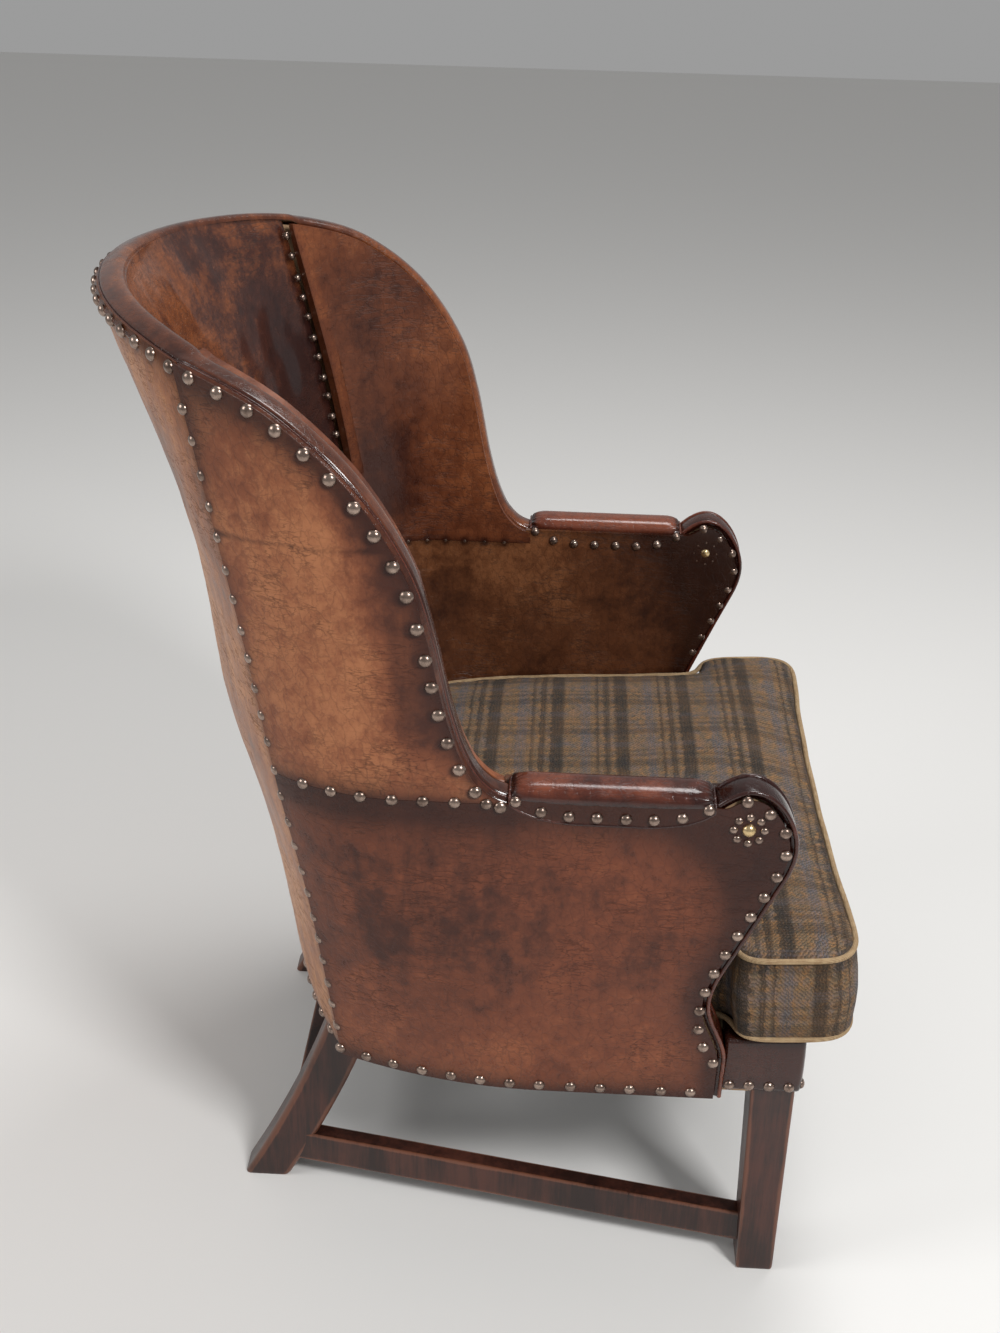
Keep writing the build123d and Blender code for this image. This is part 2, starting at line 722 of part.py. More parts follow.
def rosette_centres():
    """The four rosettes: outer and inner face of each arm."""
    outer = leaned(ROSETTE_HEIGHT, 0, ROSETTE_Y)
    inner = leaned(ROSETTE_HEIGHT, WALL, ROSETTE_Y)
    return both_sides([outer, (inner[0], -inner[1])])


def rosette_ring(point, out):
    """Places of the small nails round one rosette."""
    plane = Plane(origin=point, x_dir=(0, 1, 0), z_dir=out)
    ring = []
    for i in range(ROSETTE_COUNT):
        angle = 2 * pi * i / ROSETTE_COUNT
        along = plane.x_dir * cos(angle) + plane.y_dir * sin(angle)
        ring.append((point + along * ROSETTE_RING, out))
    return ring


# Legs and stretchers

def tapered_post(low, high):
    """Straight post between two rectangles given as x range, y range and height."""
    faces = []
    for (x0, x1), (y0, y1), z in (low, high):
        faces.append(Pos((x0 + x1) / 2, (y0 + y1) / 2, z) * Rectangle(abs(x1 - x0), abs(y1 - y0)))
    return loft(faces)


def front_leg():
    """Square front leg on the left, its two inner faces tapered towards the floor."""
    foot = ((LEG_OUTER, LEG_OUTER - LEG_FOOT), (0, LEG_FOOT), 0)
    top = ((LEG_OUTER, LEG_OUTER - LEG_TOP), (0, LEG_TOP), RAIL_TOP)
    return tapered_post(foot, top)


def rear_leg_corner(level):
    """Outer back corner of the raked rear leg at a share of its height."""
    x = REAR_LEG_FOOT_X + (REAR_LEG_TOP_X - REAR_LEG_FOOT_X) * level
    y = REAR_LEG_FOOT_Y + (REAR_LEG_TOP_Y - REAR_LEG_FOOT_Y) * level
    bow = 4 * level * (1 - level)
    return x, y - REAR_LEG_KNEE * bow


def rear_leg():
    """Raked rear leg on the left, with a slight sweep."""
    faces = []
    for level in (0, REAR_LEG_KNEE_SHARE, RAIL_TOP / LEG_HEIGHT):
        x, y = rear_leg_corner(level)
        centre = Pos(x - REAR_LEG_WIDTH / 2, y - REAR_LEG_DEPTH / 2, LEG_HEIGHT * level)
        faces.append(centre * Rectangle(REAR_LEG_WIDTH, REAR_LEG_DEPTH))
    return loft(faces)


def bar(start, end, thick, low, high):
    """Level rectangular bar between two points in plan."""
    along = Vector(end[0] - start[0], end[1] - start[1])
    middle = Pos((start[0] + end[0]) / 2, (start[1] + end[1]) / 2, (low + high) / 2)
    return middle * Rot(0, 0, atan2(along.Y, along.X) * 180 / pi) * Box(along.length, thick, high - low)


def side_stretcher(legs):
    """Side stretcher on the left, let in between a front and a rear leg."""
    top = STRETCHER_BOTTOM + STRETCHER_TALL
    x, y = rear_leg_corner(STRETCHER_BOTTOM / LEG_HEIGHT)
    half_thick = STRETCHER_THICK / 2
    start = (LEG_OUTER - STRETCHER_INSET - half_thick, LEG_FOOT / 2)
    end = (x - STRETCHER_INSET / 2 - half_thick, y - REAR_LEG_DEPTH / 2)
    return bar(start, end, STRETCHER_THICK, STRETCHER_BOTTOM, top) - legs


def rear_stretcher(legs):
    """Stretcher let in between the two rear legs."""
    top = REAR_STRETCHER_BOTTOM + REAR_STRETCHER_TALL
    x, y = rear_leg_corner(REAR_STRETCHER_BOTTOM / LEG_HEIGHT)
    depth = y - REAR_LEG_DEPTH / 2
    middle = x - REAR_LEG_WIDTH / 2
    return bar((-middle, depth), (middle, depth), STRETCHER_THICK, REAR_STRETCHER_BOTTOM, top) - legs


def seat_webbing():
    """Webbing laced over the seat rails, lengthwise strips below and crosswise ones above."""
    low = RAIL_TOP + GAP
    high = low + WEB + GAP
    rest = core(SKIN + GAP + FRAME / 2, LEG_HEIGHT, SEAT_FRONT_HEIGHT)
    width = plan(RAIL_TOP, WALL)[0]
    strips = []
    for share in steps(-WEB_SPAN_SHARE, WEB_SPAN_SHARE, WEB_COUNT):
        strip = slab(low, low + WEB, FRONT_RAIL_FACE + FRONT_RAIL_THICK / 2, BODY_DEPTH, WEB_WIDTH / 2)
        strips.append((Pos(share * width, 0, 0) * strip) & rest)
    first = FOOT_Y + FACING + ARM_POST_DEPTH + WEB_WIDTH
    last = BODY_DEPTH * SEAM_Y_SHARES[0] * WEB_BACK_SHARE + WEB_WIDTH
    for y in steps(first, last, WEB_COUNT):
        strips.append(slab(high, high + WEB, y - WEB_WIDTH / 2, y + WEB_WIDTH / 2) & rest)
    return strips


def gathered(solids):
    """Separate solids that make one sub-part."""
    return Compound(children=solids)


def build():
    """Every sub-part by name."""
    parts = {}
    reach = SKIN + GAP + FRAME
    deck = RAIL_TOP + 2 * WEB + 4 * GAP
    outer_skin = wall(0, SKIN)
    frame_wall = wall(SKIN + GAP, reach)
    pad_wall = wall(reach + GAP, WALL)
    whole_wall = wall(0, WALL)
    body = side_profile(FACING + GAP, 0)
    wedge_in = back_wedge(-GAP / 2)
    wedge_out = back_wedge(GAP / 2)
    left = half_space()
    rim_start = RIM_Y_SHARES[0] * BODY_DEPTH
    wing_room = slab(SEAM_HEIGHT + GAP / 2, HEIGHT + OVERRUN, rim_start + ROLL_HEIGHT)
    above_arm = slab(SEAM_HEIGHT - GAP / 2, HEIGHT + OVERRUN, rim_start - GAP)
    inner_wing_room = slab(INNER_SEAM_HEIGHT + GAP / 2, HEIGHT + OVERRUN, rim_start + ROLL_HEIGHT)
    above_inner_arm = slab(INNER_SEAM_HEIGHT - GAP / 2, HEIGHT + OVERRUN, rim_start + ROLL_HEIGHT - GAP)

    # Rim roll in three lengths, joined at the slanted seams
    stations = roll_stations()
    stations = stations + mirrored(stations)[1:]
    roll = along_rim(stations, roll_section)
    lid = rim_band(stations, -LID_RISE, ROLL_HEIGHT + GAP / 2)
    pad_room = slab(LEG_HEIGHT, SCROLL_TOP + OVERRUN, -OVERRUN, PAD_END + GAP)
    parts["rim_roll_back"] = roll & wedge_in
    parts["rim_roll_left"] = ((roll - wedge_out) & left) - pad_room

    # Leather outside
    skin = (outer_skin & body) - lid
    parts["outside_back"] = skin & wedge_in
    flank = (skin - wedge_out) & left
    parts["outside_wing_left"] = flank & wing_room
    parts["outside_side_left"] = flank - above_arm

    # Stuffed leather inside
    pad = (pad_wall & body & slab(deck, HEIGHT + OVERRUN)) - lid
    parts["inside_back"] = pad & wedge_in
    flank = (pad - wedge_out) & left
    parts["inside_wing_left"] = flank & inner_wing_room
    parts["inside_arm_left"] = flank - above_inner_arm

    # Timber inside the wall
    timber = (frame_wall & side_profile(FACING + 2 * GAP, 0)) - rim_band(stations, -LID_RISE, TIMBER_DROP)
    band = timber & rim_band(stations, 0, TIMBER_DROP + RIM_RAIL_TALL)
    between_posts = back_wedge(-POST_BACK)
    beside_posts = back_wedge(POST_FRONT)
    before_posts = back_wedge(POST_FRONT + GAP)
    flank = (timber & left) - before_posts
    post_rear = FOOT_Y + FACING + ARM_POST_DEPTH
    rail_high = ARM_TOP - TIMBER_DROP
    rail_zone = slab(RAIL_BOTTOM, RAIL_TOP, LEG_TOP + GAP)
    parts["crest_rail"] = band & between_posts & wing_room
    parts["back_post_left"] = ((timber & left) & beside_posts) - back_wedge(GAP - POST_BACK)
    parts["wing_rail_left"] = (band - before_posts) & left & slab(rail_high + GAP, HEIGHT, rim_start + WALL / 2)
    parts["arm_rail_left"] = flank & slab(rail_high - ARM_RAIL_TALL, rail_high, post_rear + GAP)
    parts["arm_post_left"] = timber & left & slab(RAIL_TOP + GAP, HEIGHT, -OVERRUN, post_rear)
    parts["seat_rail_left"] = (frame_wall & rail_zone & left) - before_posts
    rail_half = LEG_OUTER - LEG_TOP - GAP
    rail_end = FRONT_RAIL_FACE + FRONT_RAIL_THICK
    parts["seat_rail_front"] = slab(RAIL_BOTTOM, RAIL_TOP, FRONT_RAIL_FACE, rail_end, rail_half)

    # Legs and stretchers
    parts["front_leg_left"] = front_leg()
    parts["rear_leg_left"] = rear_leg()
    parts["side_stretcher_left"] = side_stretcher(parts["front_leg_left"] + parts["rear_leg_left"])
    both_rear = parts["rear_leg_left"] + other_side(parts["rear_leg_left"])
    parts["rear_stretcher"] = rear_stretcher(both_rear)
    parts["seat_rail_back"] = (frame_wall & rail_zone & between_posts) - both_rear

    # Seat
    parts["seat_webbing"] = gathered(seat_webbing())
    platform = core(WALL + SEAT_EASE, deck, SEAT_FRONT_HEIGHT + OVERRUN) & under_seat_plane(0)
    parts["seat_platform"] = platform & slab(deck, HEIGHT, COVER_DEPTH + 2 * GAP)
    sheet_low = RAIL_BOTTOM - GAP - DUST_COVER
    sheet = core(SKIN + SEAT_EASE, sheet_low, sheet_low + DUST_COVER) & slab(LEG_HEIGHT, RAIL_TOP, FRONT_RAIL_FACE)
    for name in ("back_post_left", "front_leg_left", "rear_leg_left"):
        sheet = sheet - parts[name] - other_side(parts[name])
    parts["dust_cover"] = sheet

    # Leather over the front rail and the tops of the front legs
    under = under_seat_plane(0)
    cover_half = LEG_OUTER + COVER
    inner_edge = LEG_OUTER - LEG_TOP - COVER
    block = slab(COVER_BOTTOM, SEAT_FRONT_HEIGHT + OVERRUN, -COVER, COVER_DEPTH, cover_half) & under
    middle = slab(COVER_BOTTOM, HEIGHT, -COVER, COVER_DEPTH, inner_edge - GAP)
    rail_room = slab(RAIL_BOTTOM, deck, FRONT_RAIL_FACE - GAP, COVER_DEPTH + OVERRUN)
    parts["front_rail_cover"] = (block & middle) - rail_room
    ends = block - slab(COVER_BOTTOM, HEIGHT, -COVER, COVER_DEPTH, inner_edge)
    front_room = slab(RAIL_BOTTOM, RAIL_TOP + GAP, FRONT_RAIL_FACE - GAP, rail_end + GAP, rail_half)
    cover = (ends & left) - front_room - parts["front_leg_left"]
    parts["leg_top_cover_left"] = cover - parts["seat_rail_left"]

    # Leather round the arm fronts, and the arm pads
    shell = whole_wall & side_profile(0, 0) & slab(LEG_HEIGHT, HEIGHT, -OVERRUN, PAD_START - 2 * GAP)
    low_skin = outer_skin & slab(LEG_HEIGHT - OVERRUN, deck)
    facing = (shell - side_profile(FACING, 0)) & (low_skin + slab(deck, HEIGHT))
    room = wall(-GAP, WALL + GAP) & slab(LEG_HEIGHT, ARM_TOP + GAP)
    parts["arm_facing_left"] = facing & left
    parts["arm_pad_left"] = arm_pad(room)
    for name in [name for name in parts if name.endswith("_left")]:
        parts[name.replace("_left", "_right")] = other_side(parts[name])

    # Upholstery nails
    dome = nail(NAIL_HEAD, NAIL_RISE)
    small = nail(SMALL_HEAD, SMALL_RISE)
    width, turn, seam_x, seam_y, back = plan(SEAM_HEIGHT, 0)
    seam_front = RIM_Y_SHARES[0] * BODY_DEPTH + 2 * NAIL_HEAD
    outer_seam = level_places(SEAM_HEIGHT, 0, seam_front, seam_y - NAIL_PITCH, NAIL_PITCH)
    inner_rear = inner_seam_point(INNER_SEAM_HEIGHT, 0)[0].Y - NAIL_PITCH
    inner_seam = level_places(INNER_SEAM_HEIGHT, WALL, seam_front + NAIL_HEAD, inner_rear, SMALL_PITCH)
    bottom = LEG_HEIGHT + BOTTOM_MARGIN
    bottom_side = level_places(bottom, 0, FOOT_Y + NAIL_PITCH, plan(bottom, 0)[3], NAIL_PITCH)
    bottom_back = back_level_places(bottom, NAIL_PITCH)
    inner_low = SEAT_FRONT_HEIGHT + CUSHION_THICK + CUSHION_CROWN
    inner_scroll = [(point, -out) for point, out in scroll_places(WALL, inner_low)]
    inner_level = [(point, -out) for point, out in inner_seam]
    parts["rim_nails"] = gathered(driven(dome, rim_places()))
    parts["back_seam_nails"] = gathered(driven(dome, both_sides(upright_places())))
    parts["arm_seam_nails"] = gathered(driven(dome, both_sides(outer_seam)))
    parts["inside_seam_nails"] = gathered(driven(small, both_sides(inner_upright_places() + inner_level)))
    scroll = scroll_places(0, FOOT_HEIGHT) + inner_scroll
    parts["arm_front_nails"] = gathered(driven(dome, both_sides(scroll)))
    parts["arm_pad_nails"] = gathered(driven(dome, both_sides(pad_places() + inner_pad_places())))
    parts["bottom_nails"] = gathered(driven(dome, both_sides(bottom_side) + bottom_back))
    parts["front_cover_nails"] = gathered(driven(dome, both_sides(cover_places()) + front_places()))
    boss = nail(ROSETTE_BOSS, ROSETTE_RISE)
    petal = nail(ROSETTE_NAIL, SMALL_RISE)
    centres = rosette_centres()
    rings = [place for point, out in centres for place in rosette_ring(point, out)]
    parts["rosette_bosses"] = gathered(driven(boss, centres))
    parts["rosette_nails"] = gathered(driven(petal, rings))

    # Loose cushion
    parts["seat_cushion"] = cushion()
    welt = piping()
    parts["cushion_piping_top"] = on_seat(Pos(0, 0, CUSHION_THICK - PIPING) * welt)
    parts["cushion_piping_bottom"] = on_seat(Pos(0, 0, PIPING + GAP) * welt)
    return parts


def main():
    """Write each sub-part, moved so that the chair stands over the middle of its own box."""
    os.makedirs("parts", exist_ok=True)
    for name, shape in build().items():
        export_step(Pos(0, -MID_DEPTH, 0) * shape, f"parts/{name}.step")


main()
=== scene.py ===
"""Dressed model of a barrel-back leather hall chair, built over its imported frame.

Lengths in the forms below are millimetres, with x across the chair, y back from the front face of the front
legs and z up from the floor. Meshes are written in metres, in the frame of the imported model.
"""
import json
import logging
import math
from dataclasses import dataclass, field
from enum import Enum

import bmesh
import bpy
import numpy as np
from bpy.types import Material, Mesh, NodeSocket, NodeTree
from mathutils import Matrix, Vector
from mathutils.bvhtree import BVHTree
from mathutils.kdtree import KDTree

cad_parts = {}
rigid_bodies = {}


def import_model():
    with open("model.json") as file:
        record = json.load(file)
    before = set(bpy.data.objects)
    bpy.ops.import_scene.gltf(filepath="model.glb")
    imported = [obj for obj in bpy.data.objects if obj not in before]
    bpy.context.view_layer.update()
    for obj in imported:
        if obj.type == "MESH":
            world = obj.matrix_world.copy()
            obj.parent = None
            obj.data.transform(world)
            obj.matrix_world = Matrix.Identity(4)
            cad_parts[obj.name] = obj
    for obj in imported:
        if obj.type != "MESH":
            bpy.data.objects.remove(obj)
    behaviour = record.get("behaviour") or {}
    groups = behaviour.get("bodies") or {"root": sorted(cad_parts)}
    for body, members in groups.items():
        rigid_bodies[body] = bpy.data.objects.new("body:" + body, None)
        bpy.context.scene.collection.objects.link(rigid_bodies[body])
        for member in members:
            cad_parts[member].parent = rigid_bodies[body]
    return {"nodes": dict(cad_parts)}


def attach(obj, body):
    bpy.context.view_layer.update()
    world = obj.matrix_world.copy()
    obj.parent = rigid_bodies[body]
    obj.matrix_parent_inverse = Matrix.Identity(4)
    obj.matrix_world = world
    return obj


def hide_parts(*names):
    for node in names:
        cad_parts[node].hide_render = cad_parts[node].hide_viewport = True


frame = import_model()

Array = np.ndarray
Faces = list[tuple[int, ...]]
Thing = bpy.types.Object
Triple = tuple[float, float, float]

LOG = logging.getLogger("hall_chair")
MM = 0.001
SEAT_SLOPE = math.radians(3.5)
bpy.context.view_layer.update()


class Side(Enum):
    """The two sides of the chair, by the sign of x."""

    LEFT = 1
    RIGHT = -1

    @property
    def word(self) -> str:
        """Name of the side as the nodes use it."""
        return self.name.lower()


class Face(Enum):
    """The two faces of the barrel wall."""

    OUTER = "outer"
    INNER = "inner"


# Forms


def eased(t: Array, start: Array, end: Array, leave: Array,
          arrive: Array) -> Array:
    """Cubic curve between two values.

    Args:
        t: Share of the way.
        start: First value.
        end: Last value.
        leave: Slope at the first value, over the whole way.
        arrive: Slope at the last value, over the whole way.

    Returns:
        The curve's values.
    """
    return ((1 + 2 * t) * (1 - t) ** 2 * start + t * (1 - t) ** 2 * leave + t * t * (3 - 2 * t) * end
            + t * t * (t - 1) * arrive)


def smooth(keys: tuple[float, ...], values: tuple[float, ...], key: Array) -> Array:
    """Smooth curve without overshoot through given points.

    Args:
        keys: Where the points are.
        values: Values at the points.
        key: Places to read the curve at.

    Returns:
        The curve's values.
    """
    k = np.asarray(keys, float)
    v = np.asarray(values, float)
    slope = np.diff(v) / np.diff(k)
    bend = np.zeros(len(k))
    bend[0], bend[-1] = slope[0], slope[-1]
    both = slope[:-1] * slope[1:]
    total = slope[:-1] + slope[1:]
    bend[1:-1] = np.where(both > 0, 2 * both / np.where(both > 0, total, 1), 0)
    i = np.clip(np.searchsorted(k, key, side="right") - 1, 0, len(k) - 2)
    span = k[i + 1] - k[i]
    return eased((key - k[i]) / span, v[i], v[i + 1], span * bend[i], span * bend[i + 1])


def unit(vectors: Array) -> Array:
    """Vectors, in the last axis, brought to length 1."""
    return vectors / np.linalg.norm(vectors, axis=-1, keepdims=True)


def run_along(line: Array) -> Array:
    """Distance of each point of a polyline from its start."""
    return np.concatenate([[0], np.cumsum(np.linalg.norm(np.diff(line, axis=0), axis=1))])


def directions(line: Array) -> Array:
    """Unit direction of a polyline at each of its points."""
    return unit(np.gradient(line, axis=0))


def moved_aside(line: Array, by: float | Array) -> Array:
    """Plane polyline moved to the right of its own direction."""
    way = directions(line)
    return line + by * np.stack([way[:, 1], -way[:, 0]], axis=1)


def hill(place: Array, middle: float | Array, reach: float) -> Array:
    """Smooth bell, 1 at the middle and near 0 beyond twice the reach."""
    return np.exp(-((place - middle) / reach) ** 2)


def ramp(place: Array, start: float | Array, length: float) -> Array:
    """Straight rise from 0 at the start to 1 a length on, falling where the length is negative."""
    return np.clip((place - start) / length, 0, 1)


def resampled(line: Array, count: int) -> Array:
    """Points evenly spaced along a polyline.

    Args:
        line: Points of the polyline, one a row.
        count: Number of points wanted.

    Returns:
        The evenly spaced points.
    """
    line = np.asarray(line, float)
    run = run_along(line)
    at = np.linspace(0, run[-1], count)
    return np.stack([np.interp(at, run, line[:, i]) for i in range(line.shape[1])], axis=1)


def rounded(line: Array, rounds: int = 3) -> Array:
    """Polyline with its corners cut a few times over, its ends kept.

    Args:
        line: Points of the polyline.
        rounds: How many times the corners are cut.

    Returns:
        The smoother polyline.
    """
    line = np.asarray(line, float)
    for _ in range(rounds):
        first = line[:-1] * 0.75 + line[1:] * 0.25
        second = line[:-1] * 0.25 + line[1:] * 0.75
        inner = np.stack([first, second], axis=1).reshape(-1, line.shape[1])
        line = np.concatenate([line[:1], inner[1:-1], line[-1:]])
    return line


@dataclass(frozen=True)
class Barrel:
    """The barrel wall: its plan at each height, its rim and its arm fronts."""

    height: float = 998.0
    depth: float = 720.0
    half_width: float = 360.0
    bottom: float = 235.0
    arm_top: float = 594.0
    seam_height: float = 588.0
    inner_seam_height: float = 576.0
    wall: float = 32.0
    frame: float = 19.6
    mid_depth: float = 332.0
    levels: tuple[float, ...] = (0.0, 0.272, 0.464, 0.685, 1.0)
    widths: tuple[float, ...] = (0.866, 0.932, 0.944, 0.974, 0.997)
    turns: tuple[float, ...] = (0.352, 0.474, 0.549, 0.505, 0.504)
    seam_xs: tuple[float, ...] = (0.750, 0.800, 0.832, 0.832, 0.786)
    seam_ys: tuple[float, ...] = (0.643, 0.680, 0.716, 0.757, 0.828)
    backs: tuple[float, ...] = (0.744, 0.787, 0.845, 0.876, 1.0)
    slant: float = 0.275
    rim_ys: tuple[float, ...] = (
        0.408, 0.427, 0.449, 0.467, 0.484, 0.506, 0.525, 0.552, 0.601, 0.659, 0.718, 0.839, 0.978)
    rim_zs: tuple[float, ...] = (
        0.000, 0.013, 0.050, 0.115, 0.216, 0.399, 0.519, 0.619, 0.742, 0.835, 0.898, 0.961, 1.000)
    front_ys: tuple[float, ...] = (76.0, 76.0, 97.0, 79.0, 46.0, 33.0, 78.0, 107.0)
    front_zs: tuple[float, ...] = (235.0, 285.0, 355.0, 427.0, 503.0, 556.0, 610.0, 594.0)

    def plan(self, z: Array, inset: float) -> tuple[Array, ...]:
        """Plan of one face of the wall.

        Args:
            z: Heights.
            inset: Depth below the outer face.

        Returns:
            Half width, turn, seam x, seam y, back y, side arc's radius and back arc's centre.
        """
        level = (np.asarray(z, float) - self.bottom) / (self.height - self.bottom)
        width = self.half_width * smooth(self.levels, self.widths, level)
        turn = self.depth * smooth(self.levels, self.turns, level)
        sx = self.half_width * smooth(self.levels, self.seam_xs, level)
        sy = self.depth * smooth(self.levels, self.seam_ys, level)
        back = self.depth * smooth(self.levels, self.backs, level)
        radius = ((width - sx) ** 2 + (sy - turn) ** 2) / (2 * (width - sx))
        centre = (back ** 2 - sx ** 2 - sy ** 2) / (2 * (back - sy))
        ax, ay = (sx - width + radius) / radius, (sy - turn) / radius
        bx, by = sx / (back - centre), (sy - centre) / (back - centre)
        share = inset / (1 + ax * bx + ay * by)
        sx, sy = sx - (ax + bx) * share, sy - (ay + by) * share
        width, back = width - inset, back - inset
        radius = ((width - sx) ** 2 + (sy - turn) ** 2) / (2 * (width - sx))
        centre = (back ** 2 - sx ** 2 - sy ** 2) / (2 * (back - sy))
        return width, turn, sx, sy, back, radius, centre

    def at_depth(self, y: Array, z: Array, inset: float) -> Array:
        """Points of the +x side of the wall, given by depth and height."""
        y, z = np.broadcast_arrays(np.asarray(y, float), np.asarray(z, float))
        width, turn, _, sy, back, radius, centre = self.plan(z, inset)
        side = width - radius + np.sqrt(np.maximum(radius ** 2 - (y - turn) ** 2, 0))
        rear = np.sqrt(np.maximum((back - centre) ** 2 - (y - centre) ** 2, 0))
        x = np.where(y <= turn, width, np.where(y <= sy, side, rear))
        return np.stack([x, y, z], axis=-1)

    def at_turn(self, share: Array, z: Array, inset: float) -> Array:
        """Points of the back arc, given by share of the turn from the middle and height."""
        share, z = np.broadcast_arrays(np.asarray(share, float), np.asarray(z, float))
        _, _, sx, sy, back, _, centre = self.plan(z, inset)
        angle = share * np.arctan2(sx, sy - centre)
        radius = back - centre
        return np.stack([np.sin(angle) * radius, centre + np.cos(angle) * radius, z], axis=-1)

    def rim(self, share: Array) -> Array:
        """Ridge of the rim in side view, at shares of its run from the arm to the crest, as (y, z)."""
        keys = tuple(i / (len(self.rim_ys) - 1) for i in range(len(self.rim_ys)))
        y = self.depth * smooth(keys, self.rim_ys, share)
        z = self.arm_top + (self.height - self.arm_top) * smooth(keys, self.rim_zs, share)
        return np.stack([y, z], axis=-1)

    def rim_height(self, y: Array) -> Array:
        """Height of the ridge at depths y."""
        line = self.rim(np.linspace(0, 1, 600))
        return np.interp(y, line[:, 0], line[:, 1])

    def dropped_rim(self, drop: float) -> Array:
        """The ridge in side view moved down and back into the wall by drop, as (y, z) rows."""
        return moved_aside(self.rim(np.linspace(0, 1, 400)), drop)

    def front(self, inset: float) -> Array:
        """The arm's front edge in side view, from its foot up and over the scroll, as (y, z) rows."""
        knots = np.stack([self.front_ys, self.front_zs], axis=1)
        return moved_aside(np.concatenate([resampled(knots[:2], 24)[:-1], self._natural(knots[1:])]), inset)

    @staticmethod
    def _natural(knots: Array) -> Array:
        """Smooth line through knots, with its ends' directions set for the arm's front edge."""
        run = run_along(knots)
        count = len(knots)
        matrix = np.zeros((count, count))
        right = np.zeros((count, 2))
        matrix[0, 0] = matrix[-1, -1] = 1
        right[0] = (0.0, 1.0)
        right[-1] = (0.7071, -0.7071)
        for i in range(1, count - 1):
            before, after = run[i] - run[i - 1], run[i + 1] - run[i]
            matrix[i, i - 1:i + 2] = (after, 2 * (before + after), before)
            right[i] = 3 * (after * (knots[i] - knots[i - 1]) / before
                            + before * (knots[i + 1] - knots[i]) / after)
        slopes = np.linalg.solve(matrix, right)
        rows = []
        for i in range(count - 1):
            span = run[i + 1] - run[i]
            t = np.linspace(0, 1, 40, endpoint=i == count - 2)[:, None]
            rows.append(eased(t, knots[i], knots[i + 1], span * slopes[i], span * slopes[i + 1]))
        return np.concatenate(rows)

    def split(self, face: Face) -> float:
        """Height of the seam between wing and arm on a face."""
        return self.seam_height if face is Face.OUTER else self.inner_seam_height

    def seam(self, face: Face, z: Array) -> Array:
        """Slanted seam on a face in side view at heights z, as (y, z) rows."""
        if face is Face.OUTER:
            return np.stack([self.plan(z, 0)[3], z], axis=1)
        return self.inner_seam(z)[:, 1:]

    def inner_seam(self, z: Array) -> Array:
        """Where the slanted seam meets the inner face, at heights z."""
        _, _, sx, sy, back, _, centre = self.plan(z, 0)
        radius = back - centre - self.wall
        level = sy - centre - self.slant * sx
        a = 1 + self.slant ** 2
        x = (-self.slant * level + np.sqrt((self.slant * level) ** 2 - a * (level ** 2 - radius ** 2))) / a
        return np.stack([x, level + self.slant * x + centre, np.asarray(z, float)], axis=-1)


BODY = Barrel()


# Meshes


def metres(points: Array) -> Array:
    """Points of the forms in metres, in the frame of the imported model."""
    return (np.asarray(points, float) - (0, BODY.mid_depth, 0)) * MM


def added(name: str, data: object) -> Thing:
    """New object of the scene round a mesh, a lamp or a camera."""
    made = bpy.data.objects.new(name, data)
    bpy.context.scene.collection.objects.link(made)
    return made


def applied(made: Thing, modifier: bpy.types.Modifier) -> Mesh:
    """Keep what an object's modifier makes of it as the object's plain mesh, and return that mesh."""
    bpy.context.view_layer.update()
    ready = made.evaluated_get(bpy.context.evaluated_depsgraph_get())
    made.data = bpy.data.meshes.new_from_object(ready)
    made.modifiers.remove(modifier)
    return made.data


def coordinates(mesh: Mesh) -> Array:
    """Points of a mesh, in millimetres of its own frame."""
    co = np.zeros(len(mesh.vertices) * 3)
    mesh.vertices.foreach_get("co", co)
    return co.reshape(-1, 3) / MM


def smoothed(mesh: Mesh, angle: float) -> Mesh:
    """Shade a mesh smoothly, but for edges sharper than an angle in radians, and return it."""
    mesh.polygons.foreach_set("use_smooth", [True] * len(mesh.polygons))
    mesh.set_sharp_from_angle(angle=angle)
    return mesh


def make_object(name: str, points: Array, faces: Faces, angle: float = 0.7) -> Thing:
    """Mesh object from points in millimetres.

    Args:
        name: Name of the object.
        points: Points, one a row.
        faces: Faces as runs of point numbers.
        angle: Edges sharper than this, in radians, stay crisp.

    Returns:
        The object, linked to the scene.
    """
    mesh = bpy.data.meshes.new(name)
    mesh.from_pydata([tuple(p) for p in metres(points)], [], faces)
    mesh.validate()
    return added(name, smoothed(mesh, angle))


def set_attribute(made: Thing, name: str, values: Array) -> None:
    """Store one number a point on a mesh object."""
    layer = made.data.attributes.new(name, "FLOAT", "POINT")
    layer.data.foreach_set("value", np.asarray(values, np.float32).ravel())


def outward(made: Thing) -> None:
    """Turn all faces of a closed mesh object outwards."""
    work = bmesh.new()
    work.from_mesh(made.data)
    bmesh.ops.recalc_face_normals(work, faces=work.faces)
    work.to_mesh(made.data)
    work.free()


def search_tree(points: Array) -> KDTree:
    """Tree that finds the nearest of a list of points."""
    tree = KDTree(len(points))
    for i, p in enumerate(points):
        tree.insert(Vector(p), i)
    tree.balance()
    return tree


def hand_in(made: Thing, slot: str, *nodes: str, body: str = "frame", fill: float | None = None,
            finish: Material | None = None) -> None:
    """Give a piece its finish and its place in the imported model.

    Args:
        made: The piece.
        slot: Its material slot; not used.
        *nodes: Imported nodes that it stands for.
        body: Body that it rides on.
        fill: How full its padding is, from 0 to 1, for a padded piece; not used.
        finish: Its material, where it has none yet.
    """
    if finish is not None:
        made.data.materials.append(finish)
    if nodes:
        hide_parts(*nodes)
    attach(made, body)
    LOG.info("%s: %d faces", made.name, len(made.data.polygons))


